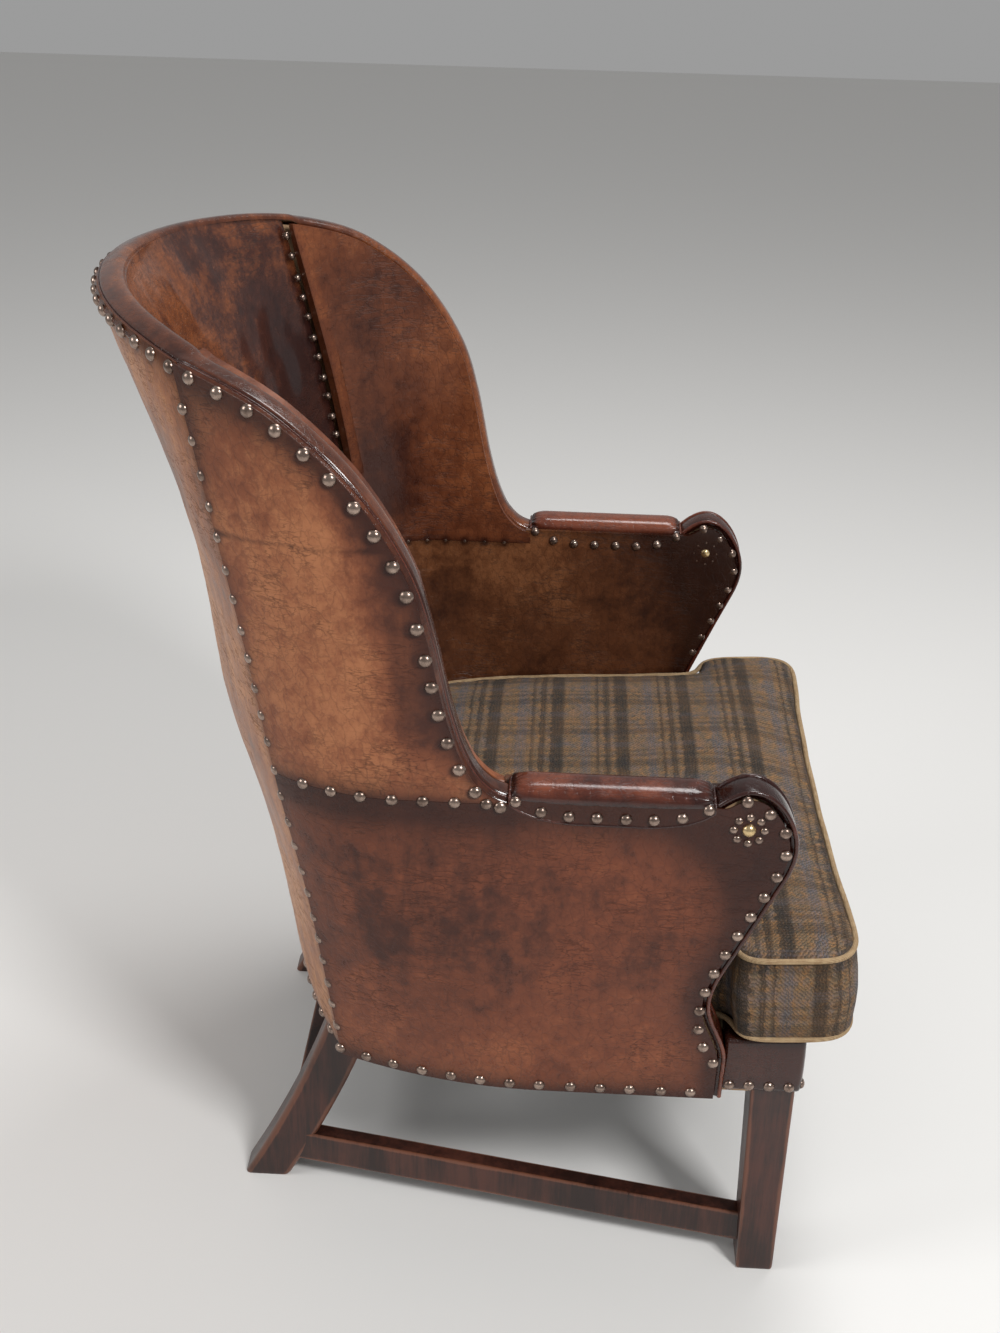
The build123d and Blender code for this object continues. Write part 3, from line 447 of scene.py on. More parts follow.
def tube_faces(rows: int, columns: int) -> Faces:
    """Faces of a closed tube of rings of points, with its two ends."""
    faces = []
    for i in range(rows - 1):
        for j in range(columns):
            k = (j + 1) % columns
            faces.append((i * columns + j, i * columns + k, (i + 1) * columns + k, (i + 1) * columns + j))
    return faces + [tuple(reversed(range(columns))), tuple((rows - 1) * columns + j for j in range(columns))]


def grid_faces(rows: int, columns: int, start: int = 0, turned: bool = False) -> Faces:
    """Quads of a grid of points.

    Args:
        rows: Number of rows.
        columns: Number of columns.
        start: Number of the grid's first point.
        turned: Whether the quads face the other way.

    Returns:
        The quads.
    """
    quads = []
    for i in range(rows - 1):
        for j in range(columns - 1):
            a = start + i * columns + j
            quad = (a, a + 1, a + columns + 1, a + columns)
            quads.append(quad[::-1] if turned else quad)
    return quads


def normals(grid: Array) -> Array:
    """Unit normals of a grid of points, by its rows and columns."""
    down = np.gradient(grid, axis=0)
    along = np.gradient(grid, axis=1)
    n = np.cross(along, down)
    length = np.linalg.norm(n, axis=-1, keepdims=True)
    return n / np.maximum(length, 1e-9)


def edge_distances(grid: Array) -> Array:
    """Distances of a grid's points from its first and last column and first and last row, stacked."""
    along = np.linalg.norm(np.diff(grid, axis=1), axis=-1)
    left = np.concatenate([np.zeros((grid.shape[0], 1)), np.cumsum(along, axis=1)], axis=1)
    up = np.linalg.norm(np.diff(grid, axis=0), axis=-1)
    low = np.concatenate([np.zeros((1, grid.shape[1])), np.cumsum(up, axis=0)], axis=0)
    return np.stack([left, left[:, -1:] - left, low, low[-1:] - low])


def coons(bottom: Array, top: Array, left: Array, right: Array, rows: int,
          columns: int) -> Array:
    """Grid of points filled in between four lines that meet at the corners.

    Args:
        bottom: Line along the first row.
        top: Line along the last row.
        left: Line up the first column.
        right: Line up the last column.
        rows: Number of rows.
        columns: Number of columns.

    Returns:
        The grid, rows by columns.
    """
    low, high = resampled(bottom, columns)[None], resampled(top, columns)[None]
    near, far = resampled(left, rows)[:, None], resampled(right, rows)[:, None]
    u = np.linspace(0, 1, columns)[None, :, None]
    v = np.linspace(0, 1, rows)[:, None, None]
    corners = ((1 - u) * (1 - v) * low[:, :1] + u * (1 - v) * low[:, -1:]
               + (1 - u) * v * high[:, :1] + u * v * high[:, -1:])
    return (1 - v) * low + v * high + (1 - u) * near + u * far - corners


def wander(points: Array, seed: int, length: float) -> Array:
    """Gentle unevenness between -1 and 1 at points, from a few crossed waves.

    Args:
        points: Points, in the last axis.
        seed: Seed of the waves.
        length: Wavelength in millimetres.

    Returns:
        One number a point.
    """
    source = np.random.default_rng(seed)
    total = np.zeros(points.shape[:-1])
    for _ in range(7):
        way = source.normal(size=3)
        way /= np.linalg.norm(way)
        rate = 2 * math.pi / (length * source.uniform(0.7, 1.5))
        total += np.sin(points @ way * rate + source.uniform(0, 6.3))
    return total / 3.5


def closed_sheet(name: str, face: Array, back: Array, marks: dict[str, Array]) -> Thing:
    """Closed sheet between two grids of points.

    Args:
        name: Name of the object.
        face: Points of its face.
        back: Points of its back, as many.
        marks: Numbers for each point of the face, by attribute name.

    Returns:
        The sheet.
    """
    rows, columns = face.shape[:2]
    count = rows * columns
    faces = grid_faces(rows, columns) + grid_faces(rows, columns, count, turned=True)
    ring = ([(0, j) for j in range(columns)] + [(i, columns - 1) for i in range(1, rows)]
            + [(rows - 1, j) for j in range(columns - 2, -1, -1)] + [(i, 0) for i in range(rows - 2, 0, -1)])
    numbers = [i * columns + j for i, j in ring]
    for a, b in zip(numbers, numbers[1:] + numbers[:1]):
        faces.append((b, a, a + count, b + count))
    made = make_object(name, np.concatenate([face.reshape(-1, 3), back.reshape(-1, 3)]), faces)
    outward(made)
    for key, values in marks.items():
        set_attribute(made, key, np.concatenate([values.ravel(), values.ravel()]))
    return made


def shell(name: str, grid: Array, thickness: float, lift: Array,
          marks: dict[str, Array]) -> Thing:
    """Closed sheet with a shaped face.

    Args:
        name: Name of the object.
        grid: Points of the flat face.
        thickness: How far the back lies behind the flat face.
        lift: How far each point of the face rises from it.
        marks: Numbers for each point of the face, by attribute name.

    Returns:
        The sheet, its face along the grid's normals.
    """
    n = normals(grid)
    return closed_sheet(name, grid + n * lift[..., None], grid - n * thickness, marks)


def flipped(grid: Array, side: Side) -> Array:
    """A grid of the +x side moved to a side, its columns turned so that it still faces the same way."""
    if side is Side.LEFT:
        return grid
    return (grid * (-1, 1, 1))[:, ::-1]


def laid(region: Array, side: Side, inset: float) -> Array:
    """Side-view grid of (y, z) points laid on one side of the wall, at a depth below its outer face."""
    return flipped(BODY.at_depth(region[..., 0], region[..., 1], inset), side)


# Node trees


class Signal:
    """What comes out of a node, with arithmetic that adds nodes."""

    def __init__(self, graph: "Graph", socket: NodeSocket) -> None:
        """Wrap a socket of a graph."""
        self.graph = graph
        self.socket = socket

    def __add__(self, other: "Signal | float") -> "Signal":
        """Sum."""
        return self.graph.math("ADD", self, other)

    __radd__ = __add__

    def __mul__(self, other: "Signal | float") -> "Signal":
        """Product."""
        return self.graph.math("MULTIPLY", self, other)

    __rmul__ = __mul__

    def __sub__(self, other: "Signal | float") -> "Signal":
        """Difference."""
        return self.graph.math("SUBTRACT", self, other)

    def __rsub__(self, other: float) -> "Signal":
        """Difference from a plain number."""
        return self.graph.math("SUBTRACT", other, self)

    def __truediv__(self, other: "Signal | float") -> "Signal":
        """Quotient."""
        return self.graph.math("DIVIDE", self, other)

    def clamp(self) -> "Signal":
        """The number kept between 0 and 1."""
        return self.graph.node("ShaderNodeClamp", {}, {"Value": self})

    def step(self, low: float, high: float) -> "Signal":
        """Smooth step from 0 at low to 1 at high."""
        return self.graph.node("ShaderNodeMapRange", {"interpolation_type": "SMOOTHSTEP"},
                               {"Value": self, "From Min": low, "From Max": high})

    def sine(self) -> "Signal":
        """Sine."""
        return self.graph.math("SINE", self)

    def size(self) -> "Signal":
        """The number without its sign."""
        return self.graph.math("ABSOLUTE", self)

    def axis(self, index: int) -> "Signal":
        """One part of a vector."""
        return self.graph.node("ShaderNodeSeparateXYZ", {}, {0: self}, index)


class Graph:
    """A node tree, with one method that adds any node."""

    def __init__(self, tree: NodeTree) -> None:
        """Start with a tree."""
        self.tree = tree

    def feed(self, socket: NodeSocket, value: object) -> None:
        """Set or link one input."""
        if isinstance(value, Signal):
            self.tree.links.new(value.socket, socket)
        elif isinstance(value, (tuple, list)) and socket.type == "RGBA":
            socket.default_value = (*value[:3], 1.0)
        else:
            socket.default_value = value

    def node(self, kind: str, settings: dict[str, object], inputs: dict[object, object],
             out: object = 0) -> Signal:
        """Add a node.

        Args:
            kind: The node's type.
            settings: Its own settings, set first.
            inputs: Values or links of its sockets, by name or number.
            out: The output wanted, by name or number.

        Returns:
            That output.
        """
        made = self.tree.nodes.new(kind)
        for key, value in settings.items():
            setattr(made, key, value)
        for key, value in inputs.items():
            self.feed(made.inputs[key], value)
        return Signal(self, made.outputs[out])

    def math(self, operation: str, *values: "Signal | float") -> Signal:
        """Add a Math node over values."""
        return self.node("ShaderNodeMath", {"operation": operation}, dict(enumerate(values)))


class Paint(Graph):
    """The nodes of a material."""

    def __init__(self, name: str) -> None:
        """Start a material with one surface shader."""
        self.material = bpy.data.materials.new(name)
        self.material.use_nodes = True
        super().__init__(self.material.node_tree)
        self.tree.nodes.clear()
        self.surface = self.tree.nodes.new("ShaderNodeBsdfPrincipled")
        end = self.tree.nodes.new("ShaderNodeOutputMaterial")
        self.tree.links.new(self.surface.outputs[0], end.inputs[0])

    def place(self) -> Signal:
        """Object coordinates."""
        return self.node("ShaderNodeTexCoord", {}, {}, "Object")

    def mark(self, name: str, part: str = "Fac") -> Signal:
        """A number or vector stored on the mesh."""
        return self.node("ShaderNodeAttribute", {"attribute_name": name}, {}, part)

    def shifted(self, vector: Signal, by: object) -> Signal:
        """Coordinates with something added."""
        return self.node("ShaderNodeVectorMath", {"operation": "ADD"}, {0: vector, 1: by})

    def stretched(self, vector: Signal, scale: Triple, turn: Triple = (0, 0, 0)) -> Signal:
        """Coordinates turned and scaled."""
        return self.node("ShaderNodeMapping", {}, {"Vector": vector, "Rotation": turn, "Scale": scale})

    def noise(self, vector: Signal, scale: float, detail: float = 4.0, rough: float = 0.55,
              warp: float = 0.0) -> Signal:
        """Noise between 0 and 1."""
        return self.node("ShaderNodeTexNoise", {}, {
            "Vector": vector, "Scale": scale, "Detail": detail, "Roughness": rough, "Distortion": warp})

    def cells(self, vector: Signal, scale: float, feature: str = "F1") -> Signal:
        """Distance field of scattered cells."""
        return self.node("ShaderNodeTexVoronoi", {"feature": feature}, {"Vector": vector, "Scale": scale},
                         "Distance")

    def mix(self, share: "Signal | float", first: object, second: object) -> Signal:
        """Colour between two, by share."""
        return self.node("ShaderNodeMix", {"data_type": "RGBA"}, {0: share, 6: first, 7: second}, 2)

    def bump(self, height: Signal, strength: float, distance: float, under: Signal | None = None) -> Signal:
        """Normal with relief.

        Args:
            height: Height of the relief.
            strength: How strong it is.
            distance: Depth of the relief, in metres.
            under: Normal that it is laid on.

        Returns:
            The normal.
        """
        inputs = {"Height": height, "Strength": strength, "Distance": distance}
        return self.node("ShaderNodeBump", {}, inputs if under is None else {**inputs, "Normal": under})

    def dress(self, **inputs: object) -> Material:
        """Feed the surface shader, its inputs named with underscores for spaces, and return the material."""
        names = {"ior_level": "Specular IOR Level"}
        for key, value in inputs.items():
            label = names.get(key, " ".join(word.capitalize() for word in key.split("_")))
            self.feed(self.surface.inputs[label], value)
        return self.material


class Recipe(Graph):
    """A Geometry Nodes tree with named inputs, which ends in plain geometry with a material."""

    def __init__(self, name: str, inputs: dict[str, str]) -> None:
        """Start a tree.

        Args:
            name: Name of the tree.
            inputs: The kind of each input socket, by name.
        """
        super().__init__(bpy.data.node_groups.new(name, "GeometryNodeTree"))
        for label, kind in inputs.items():
            self.tree.interface.new_socket(label, in_out="INPUT", socket_type=f"NodeSocket{kind}")
        self.tree.interface.new_socket("Geometry", in_out="OUTPUT", socket_type="NodeSocketGeometry")
        start = self.tree.nodes.new("NodeGroupInput")
        self.given = {label: Signal(self, start.outputs[label]) for label in inputs}

    def finish(self, made: Signal) -> NodeTree:
        """End the tree in real geometry with its material, and return it."""
        real = self.node("GeometryNodeRealizeInstances", {}, {0: made})
        dressed = self.node("GeometryNodeSetMaterial", {}, {0: real, "Material": self.given["Finish"]})
        self.tree.links.new(dressed.socket, self.tree.nodes.new("NodeGroupOutput").inputs[0])
        return self.tree


class Maker:
    """The Geometry Nodes trees that the trim shares."""

    def __init__(self) -> None:
        """Build the two trees."""
        self.nails = self._nail_tree()
        self.welts = self._welt_tree()

    @staticmethod
    def _nail_tree() -> NodeTree:
        """Tree that sets a domed nail head on every point, along the direction stored there."""
        g = Recipe("domed_nails", {"Points": "Geometry", "Head Radius": "Float", "Rise": "Float",
                                   "Tilt": "Float", "Seed": "Int", "Finish": "Material"})
        points, radius, rise, tilt, seed, _ = g.given.values()
        ball = g.node("GeometryNodeMeshUVSphere", {}, {"Segments": 14, "Rings": 9, "Radius": 1.0}, "Mesh")
        place = g.node("GeometryNodeInputPosition", {}, {})
        flat = g.math("MAXIMUM", place.axis(2), -0.2)
        spot = g.node("ShaderNodeCombineXYZ", {},
                      {0: place.axis(0) * radius, 1: place.axis(1) * radius, 2: flat * rise})
        dome = g.node("GeometryNodeSetPosition", {}, {"Geometry": ball, "Position": spot})
        way = g.node("GeometryNodeInputNamedAttribute", {"data_type": "FLOAT_VECTOR"}, {"Name": "facing"},
                     "Attribute")
        stand = g.node("FunctionNodeAlignRotationToVector", {"axis": "Z"}, {"Vector": way})
        chance = g.node("FunctionNodeRandomValue", {"data_type": "FLOAT_VECTOR"},
                        {"Min": tilt * -1.0, "Max": tilt, "Seed": seed})
        turn = g.node("FunctionNodeEulerToRotation", {}, {0: chance})
        both = g.node("FunctionNodeRotateRotation", {"rotation_space": "LOCAL"}, {0: stand, 1: turn})
        return g.finish(g.node("GeometryNodeInstanceOnPoints", {},
                               {"Points": points, "Instance": dome, "Rotation": both}))

    @staticmethod
    def _welt_tree() -> NodeTree:
        """Tree that runs a round cord along a line of edges."""
        g = Recipe("round_welt", {"Line": "Geometry", "Radius": "Float", "Sides": "Int",
                                  "Finish": "Material"})
        line = g.node("GeometryNodeMeshToCurve", {}, {0: g.given["Line"]})
        ring = g.node("GeometryNodeCurvePrimitiveCircle", {},
                      {"Radius": g.given["Radius"], "Resolution": g.given["Sides"]})
        return g.finish(g.node("GeometryNodeCurveToMesh", {},
                               {"Curve": line, "Profile Curve": ring, "Fill Caps": True}))

    @staticmethod
    def _run(source: Mesh, tree: NodeTree, values: dict[str, object], angle: float) -> Thing:
        """Run a tree on a mesh and keep the outcome as a plain mesh.

        Args:
            source: Mesh that the tree starts from, which gives the outcome its name.
            tree: The tree.
            values: Values of the tree's inputs by name.
            angle: Edges sharper than this, in radians, stay crisp.

        Returns:
            The object made.
        """
        made = added(source.name, source)
        modifier = made.modifiers.new("make", "NODES")
        modifier.node_group = tree
        for item in tree.interface.items_tree:
            if item.in_out == "INPUT" and item.name in values:
                modifier[item.identifier] = values[item.name]
        smoothed(applied(made, modifier), angle)
        return made

    def nail_row(self, name: str, places: Array, facing: Array, kind: "NailKind", seed: int,
                 finish: Material) -> Thing:
        """Set nail heads at places.

        Args:
            name: Name of the object made.
            places: Centres of the heads' undersides, in metres.
            facing: Unit directions that the heads face.
            kind: The kind of nail.
            seed: Seed of the tilt.
            finish: Material of the heads.

        Returns:
            One plain mesh object with all the heads.
        """
        mesh = bpy.data.meshes.new(name)
        mesh.from_pydata([tuple(p) for p in places], [], [])
        layer = mesh.attributes.new("facing", "FLOAT_VECTOR", "POINT")
        layer.data.foreach_set("vector", np.asarray(facing, np.float32).ravel())
        return self._run(mesh, self.nails, {"Head Radius": kind.radius, "Rise": kind.rise, "Tilt": kind.tilt,
                                            "Seed": seed, "Finish": finish}, 1.0)

    def welt(self, name: str, lines: list[Array], radius: float, finish: Material,
             closed: bool = False, sides: int = 10) -> Thing:
        """Run a cord along lines.

        Args:
            name: Name of the object made.
            lines: Lines of points, in millimetres.
            radius: Radius of the cord, in millimetres.
            finish: Material of the cord.
            closed: Whether each line closes on itself.
            sides: Sides of the cord's section.

        Returns:
            One plain mesh object with all the cords.
        """
        points, edges = [], []
        for line in lines:
            start = len(points)
            points += [tuple(p) for p in metres(line)]
            edges += [(start + i, start + i + 1) for i in range(len(line) - 1)]
            if closed:
                edges.append((start + len(line) - 1, start))
        mesh = bpy.data.meshes.new(name)
        mesh.from_pydata(points, edges, [])
        return self._run(mesh, self.welts, {"Radius": radius * MM, "Sides": sides, "Finish": finish}, 1.2)


# Finishes


@dataclass(frozen=True)
class LeatherFinish:
    """Old waxed hide: mottled, creased, darker along its seams, with painted shade and painted highlight laid
    in from marks on the mesh.
    """

    name: str
    deep: Triple
    mid: Triple
    light: Triple
    seed: float = 0.0
    gloss: float = 0.38
    coat: float = 0.12
    wear: float = 1.0
    streak: float = 0.5

    def build(self) -> Material:
        """Make the material."""
        g = Paint(self.name)
        spot = g.shifted(g.place(), (self.seed, self.seed, 0.0))
        warp = g.noise(spot, 3.4, 3, 0.5, 0.6)
        clouds = g.noise(spot, 11.0, 4, 0.55, 0.4)
        grain = g.noise(spot, 62.0, 5, 0.65)
        fleck = g.noise(spot, 240.0, 4, 0.7)
        drawn = g.noise(g.stretched(spot, (26.0, 26.0, 4.5)), 1.6, 5, 0.6, 0.6)
        # Darkness stored on the mesh: age darkening of the hide, painted shade in seams, creases and under
        # rolls, and painted shadow round nails
        patina = g.mark("patina")
        tone = ((warp - 0.5) * 1.9 + (clouds - 0.5) * 1.1 + (grain - 0.5) * 1.0
                + (drawn - 0.5) * self.streak + 0.5)
        # Paleness stored on the mesh: paler hide, and painted highlight on crowns, rolls and lit slopes
        sun = g.mark("sun")
        colour = g.mix((tone + sun * 0.32).step(0.06, 0.66), self.deep, self.mid)
        colour = g.mix((tone + (fleck - 0.5) * 0.5 + sun * 0.50).step(0.55, 1.20), colour, self.light)
        # Fine scuffs are thin lines where stretched noise crosses its middle, broken up by clouds
        lines = None
        for turn, scale, where in ((0.5, 5.5, 0.48), (-0.75, 7.0, 0.52), (1.25, 6.0, 0.5)):
            run = g.noise(g.stretched(spot, (3.2, 3.2, 13.0), (turn, 0.3 * turn, 0.0)), scale, 3, 0.5, 0.25)
            thin = 1 - ((run - where).size() * 60).clamp()
            lines = thin if lines is None else g.math("MAXIMUM", lines, thin)
        scuffs = lines * (clouds + (grain - 0.5) * 0.35).step(0.47, 0.60)
        colour = g.mix(scuffs * (0.50 * self.wear), colour, tuple(0.35 * c for c in self.deep))
        # The stored darkness, with clouds and grain, draws the colour towards a near-black brown: dirt, and
        # painted shade
        dark = (patina * 1.25 + (clouds - 0.5) * 0.6 + (grain - 0.5) * 0.35).step(0.18, 1.0)
        grime_and_shade = tuple(share * c for share, c in zip((0.42, 0.30, 0.28), self.deep))
        colour = g.mix(dark * 0.86, colour, grime_and_shade)
        pits = 1 - g.cells(spot, 900.0).step(0.05, 0.55)
        bent = g.shifted(g.stretched(spot, (1.0, 1.0, 0.6)), (grain - 0.5) * 0.02)
        creases = g.cells(bent, 105.0, "DISTANCE_TO_EDGE").step(0.0, 0.10)
        colour = g.mix((1 - creases) * (clouds * 0.8 + (warp - 0.5)).clamp() * 0.5, colour,
                       tuple(0.4 * c for c in self.deep))
        relief = grain * 0.55 + creases * 0.16 - pits * 0.05 - scuffs * 0.25 + fleck * 0.08
        normal = g.bump(relief, 0.42, 0.0016)
        normal = g.bump(clouds * 0.6 + warp * 0.6, 0.35, 0.006, normal)
        rough = self.gloss + (grain - 0.5) * 0.28 + (clouds - 0.5) * 0.22 + scuffs * 0.25 - patina * 0.06
        return g.dress(base_color=colour, roughness=rough.clamp(), normal=normal, coat_weight=self.coat,
                       coat_roughness=0.14, ior_level=0.25)


@dataclass(frozen=True)
class WoodFinish:
    """Timber with grain along z, worn pale on its arrises."""

    name: str
    deep: Triple
    mid: Triple
    worn: Triple
    gloss: float = 0.38
    coat: float = 0.15
    turn: Triple = (0.0, 0.0, 0.0)

    def build(self) -> Material:
        """Make the material."""
        g = Paint(self.name)
        spot = g.place()
        along = g.stretched(spot, (1.0, 1.0, 0.07), self.turn)
        bands = g.noise(along, 38.0, 6, 0.6, 1.1)
        fibre = g.noise(along, 320.0, 4, 0.7, 0.2)
        cloud = g.noise(spot, 11.0, 4, 0.6)
        tone = bands * 0.9 + (fibre - 0.5) * 0.7 + (cloud - 0.5) * 0.8
        colour = g.mix(tone.step(0.2, 0.8), self.deep, self.mid)
        rub = (g.mark("edge") + (cloud - 0.5) * 1.2 + (fibre - 0.5) * 0.5).step(0.55, 1.05)
        colour = g.mix(rub * 0.55, colour, self.worn)
        normal = g.bump(fibre * 0.5 + bands * 0.5, 0.4, 0.0006)
        rough = (self.gloss + (fibre - 0.5) * 0.3 + (cloud - 0.5) * 0.3).clamp()
        return g.dress(base_color=colour, roughness=rough, normal=normal, coat_weight=self.coat,
                       coat_roughness=0.25)


@dataclass(frozen=True)
class MetalFinish:
    """Domed nail metal, tarnished in patches."""

    name: str
    bright: Triple
    dull: Triple
    rough: float = 0.30

    def build(self) -> Material:
        """Make the material."""
        g = Paint(self.name)
        spot = g.place()
        cloud = g.noise(spot, 160.0, 3, 0.6)
        blotch = g.noise(spot, 34.0, 3, 0.6)
        colour = g.mix((cloud * 0.6 + blotch * 0.7).step(0.45, 0.9), self.bright, self.dull)
        rough = (self.rough + (cloud - 0.5) * 0.35).clamp()
        return g.dress(base_color=colour, roughness=rough, metallic=0.92,
                       normal=g.bump(cloud, 0.25, 0.0006))


@dataclass(frozen=True)
class TweedFinish:
    """Woollen cloth with a window check over a mottled twill."""

    name: str = "tweed_check"
    ground: Triple = (0.230, 0.175, 0.110)
    dark: Triple = (0.012, 0.011, 0.011)
    ochre: Triple = (0.360, 0.180, 0.068)
    blue: Triple = (0.110, 0.140, 0.195)
    sett: float = 0.076
    pitch: float = 0.0034
    twill_pitch: float = 0.0048

    def _band(self, g: Graph, run: Signal, centre: float, half: float, soft: float) -> Signal:
        """Soft-edged band that repeats with the sett.

        Args:
            g: The material's graph.
            run: Distance along the cloth, in metres.
            centre: Middle of the band, as a share of the sett.
            half: Half its width, as a share of the sett.
            soft: Softness of its edges, as a share of the sett.

        Returns:
            1 on the band and 0 off it.
        """
        turn = g.math("FRACT", run / self.sett + (1.5 - centre))
        return 1 - (turn - 0.5).size().step(half - soft, half + soft)

    def build(self) -> Material:
        """Make the material."""
        g = Paint(self.name)
        spot = g.place()
        weave = g.mark("weave", "Vector")
        fuzz = g.noise(spot, 620.0, 3, 0.7)
        slub = g.noise(spot, 150.0, 4, 0.65)
        cloud = g.noise(spot, 14.0, 3, 0.6)
        jog = (slub - 0.5) * 0.009 + (fuzz - 0.5) * 0.004
        u = weave.axis(0) + jog
        v = weave.axis(1) + (fuzz - 0.5) * 0.003
        across = (u * (2 * math.pi / self.pitch) + (slub - 0.5) * 3).sine()
        along = (v * (2 * math.pi / self.pitch) + (fuzz - 0.5) * 3).sine()
        twill = ((u + v) * (2 * math.pi / self.twill_pitch) + (slub - 0.5) * 2.5).sine()
        colour = g.mix((slub + (fuzz - 0.5) * 0.9).step(0.30, 0.72), self.ground, self.ochre)
        heather = (g.noise(spot, 60.0, 3, 0.7) + (fuzz - 0.5) * 0.6).step(0.5, 0.68)
        colour = g.mix(heather * 0.45, colour, self.blue)
        for run, thread, share in ((u, across, 1.0), (v, along, 0.5)):
            for centre, half, soft, level, lean, hairy, most, dye in (
                    (0.80, 0.075, 0.030, 0.55, 0.30, 0.0, 0.70, self.blue),
                    (0.24, 0.100, 0.030, 0.80, 0.15, 0.5, 0.92, self.dark),
                    (0.47, 0.045, 0.020, 0.75, 0.20, 0.5, 0.85, self.dark),
                    (0.62, 0.025, 0.015, 0.70, 0.25, 0.0, 0.80, self.dark)):
                woven = level + thread * lean + (fuzz - 0.5) * hairy
                band = self._band(g, run, centre, half, soft) * woven * share
                colour = g.mix(band.clamp() * most, colour, dye)
        flecks = (fuzz * 0.7 + twill * 0.12 + slub * 0.45).step(0.42, 0.74)
        colour = g.mix(0.62 - flecks * 0.60, colour, self.dark)
        colour = g.mix((cloud - 0.42).clamp() * 0.5, colour, self.ochre)
        relief = across * 0.25 + along * 0.25 + twill * 0.2 + fuzz * 0.9 + slub * 0.8
        normal = g.bump(relief, 0.75, 0.0016)
        return g.dress(base_color=colour, roughness=0.95, normal=normal, ior_level=0.15, sheen_weight=0.06,
                       sheen_roughness=0.6)


@dataclass(frozen=True)
class ClothFinish:
    """Plain woven cloth."""

    name: str
    ground: Triple
    thread: Triple
    pitch: float = 0.0016

    def build(self) -> Material:
        """Make the material."""
        g = Paint(self.name)
        spot = g.place()
        fuzz = g.noise(spot, 700.0, 3, 0.7)
        slub = g.noise(spot, 120.0, 4, 0.6)
        rate = 2 * math.pi / self.pitch
        weft = (spot.axis(0) * rate + (slub - 0.5) * 3).sine()
        warp = (spot.axis(1) * rate + spot.axis(2) * rate + (slub - 0.5) * 3).sine()
        height = weft * 0.3 + warp * 0.3 + fuzz * 0.6
        colour = g.mix((height * 0.5 + slub).step(0.3, 1.0), self.ground, self.thread)
        return g.dress(base_color=colour, roughness=0.92, normal=g.bump(height, 0.6, 0.001), ior_level=0.25)


class Finishes:
    """Every material of the chair, by the part that wears it."""

    def __init__(self) -> None:
        """Build the materials."""
        self.hides: dict[str, Material] = {}
        for part, deep, mid, light, more in (
                ("outside_wing", (0.062, 0.016, 0.008), (0.200, 0.060, 0.025), (0.390, 0.150, 0.064),
                 {"seed": 1.7}),
                ("outside_side", (0.048, 0.012, 0.006), (0.165, 0.044, 0.018), (0.290, 0.090, 0.036),
                 {"seed": 4.1, "gloss": 0.33}),
                ("outside_back", (0.120, 0.038, 0.014), (0.310, 0.110, 0.042), (0.520, 0.230, 0.095),
                 {"seed": 7.3, "streak": 1.3}),
                ("inside_back", (0.022, 0.008, 0.007), (0.060, 0.018, 0.011), (0.230, 0.070, 0.023),
                 {"seed": 11.9, "gloss": 0.25, "coat": 0.5, "streak": 0.25}),
                ("inside_wing", (0.048, 0.012, 0.006), (0.145, 0.041, 0.016), (0.280, 0.088, 0.031),
                 {"seed": 14.2, "gloss": 0.32, "coat": 0.3}),
                ("inside_arm", (0.034, 0.011, 0.006), (0.105, 0.035, 0.014), (0.240, 0.092, 0.037),
                 {"seed": 18.6, "gloss": 0.27, "coat": 0.4}),
                ("rim", (0.034, 0.009, 0.005), (0.105, 0.029, 0.012), (0.240, 0.074, 0.024),
                 {"seed": 11.9, "gloss": 0.22, "coat": 0.5, "wear": 0.5}),
                ("trim", (0.028, 0.007, 0.005), (0.092, 0.021, 0.011), (0.190, 0.050, 0.023),
                 {"seed": 27.5, "gloss": 0.22, "coat": 0.5, "wear": 0.6, "streak": 0.2})):
            self.hides[part] = LeatherFinish(f"hide_{part}", deep, mid, light, **more).build()
        self.trim = self.hides["trim"]
        self.mahogany = WoodFinish("waxed_mahogany", (0.018, 0.006, 0.004), (0.072, 0.020, 0.012),
                                   (0.20, 0.070, 0.034)).build()
        self.mahogany_level = WoodFinish("waxed_mahogany_level", (0.018, 0.006, 0.004), (0.080, 0.024, 0.014),
                                         (0.22, 0.080, 0.040), turn=(math.pi / 2, 0.0, 0.0)).build()
        self.beech = WoodFinish("sawn_beech", (0.36, 0.22, 0.12), (0.56, 0.38, 0.22), (0.6, 0.42, 0.26), 0.7,
                                0.0).build()
        self.bronze = MetalFinish("bronzed_nail", (0.38, 0.285, 0.235), (0.13, 0.088, 0.070), 0.27).build()
        self.brass = MetalFinish("boss_brass", (0.86, 0.66, 0.36), (0.50, 0.36, 0.18), 0.24).build()
        self.tweed = TweedFinish().build()
        self.piping = ClothFinish("tan_piping", (0.30, 0.19, 0.10), (0.50, 0.36, 0.21), 0.0013).build()
        self.jute = ClothFinish("jute_web", (0.25, 0.18, 0.10), (0.50, 0.39, 0.24), 0.003).build()
        self.hessian = ClothFinish("hessian", (0.24, 0.17, 0.09), (0.46, 0.35, 0.21), 0.0022).build()
        self.black_cotton = ClothFinish("black_cotton", (0.010, 0.010, 0.011), (0.035, 0.034, 0.035),
                                        0.0012).build()


# Nails


@dataclass(frozen=True)
class NailKind:
    """Size of one kind of nail head in metres, and its largest chance tilt in radians."""

    radius: float
    rise: float
    tilt: float = 0.10
    shank: float = 0.013


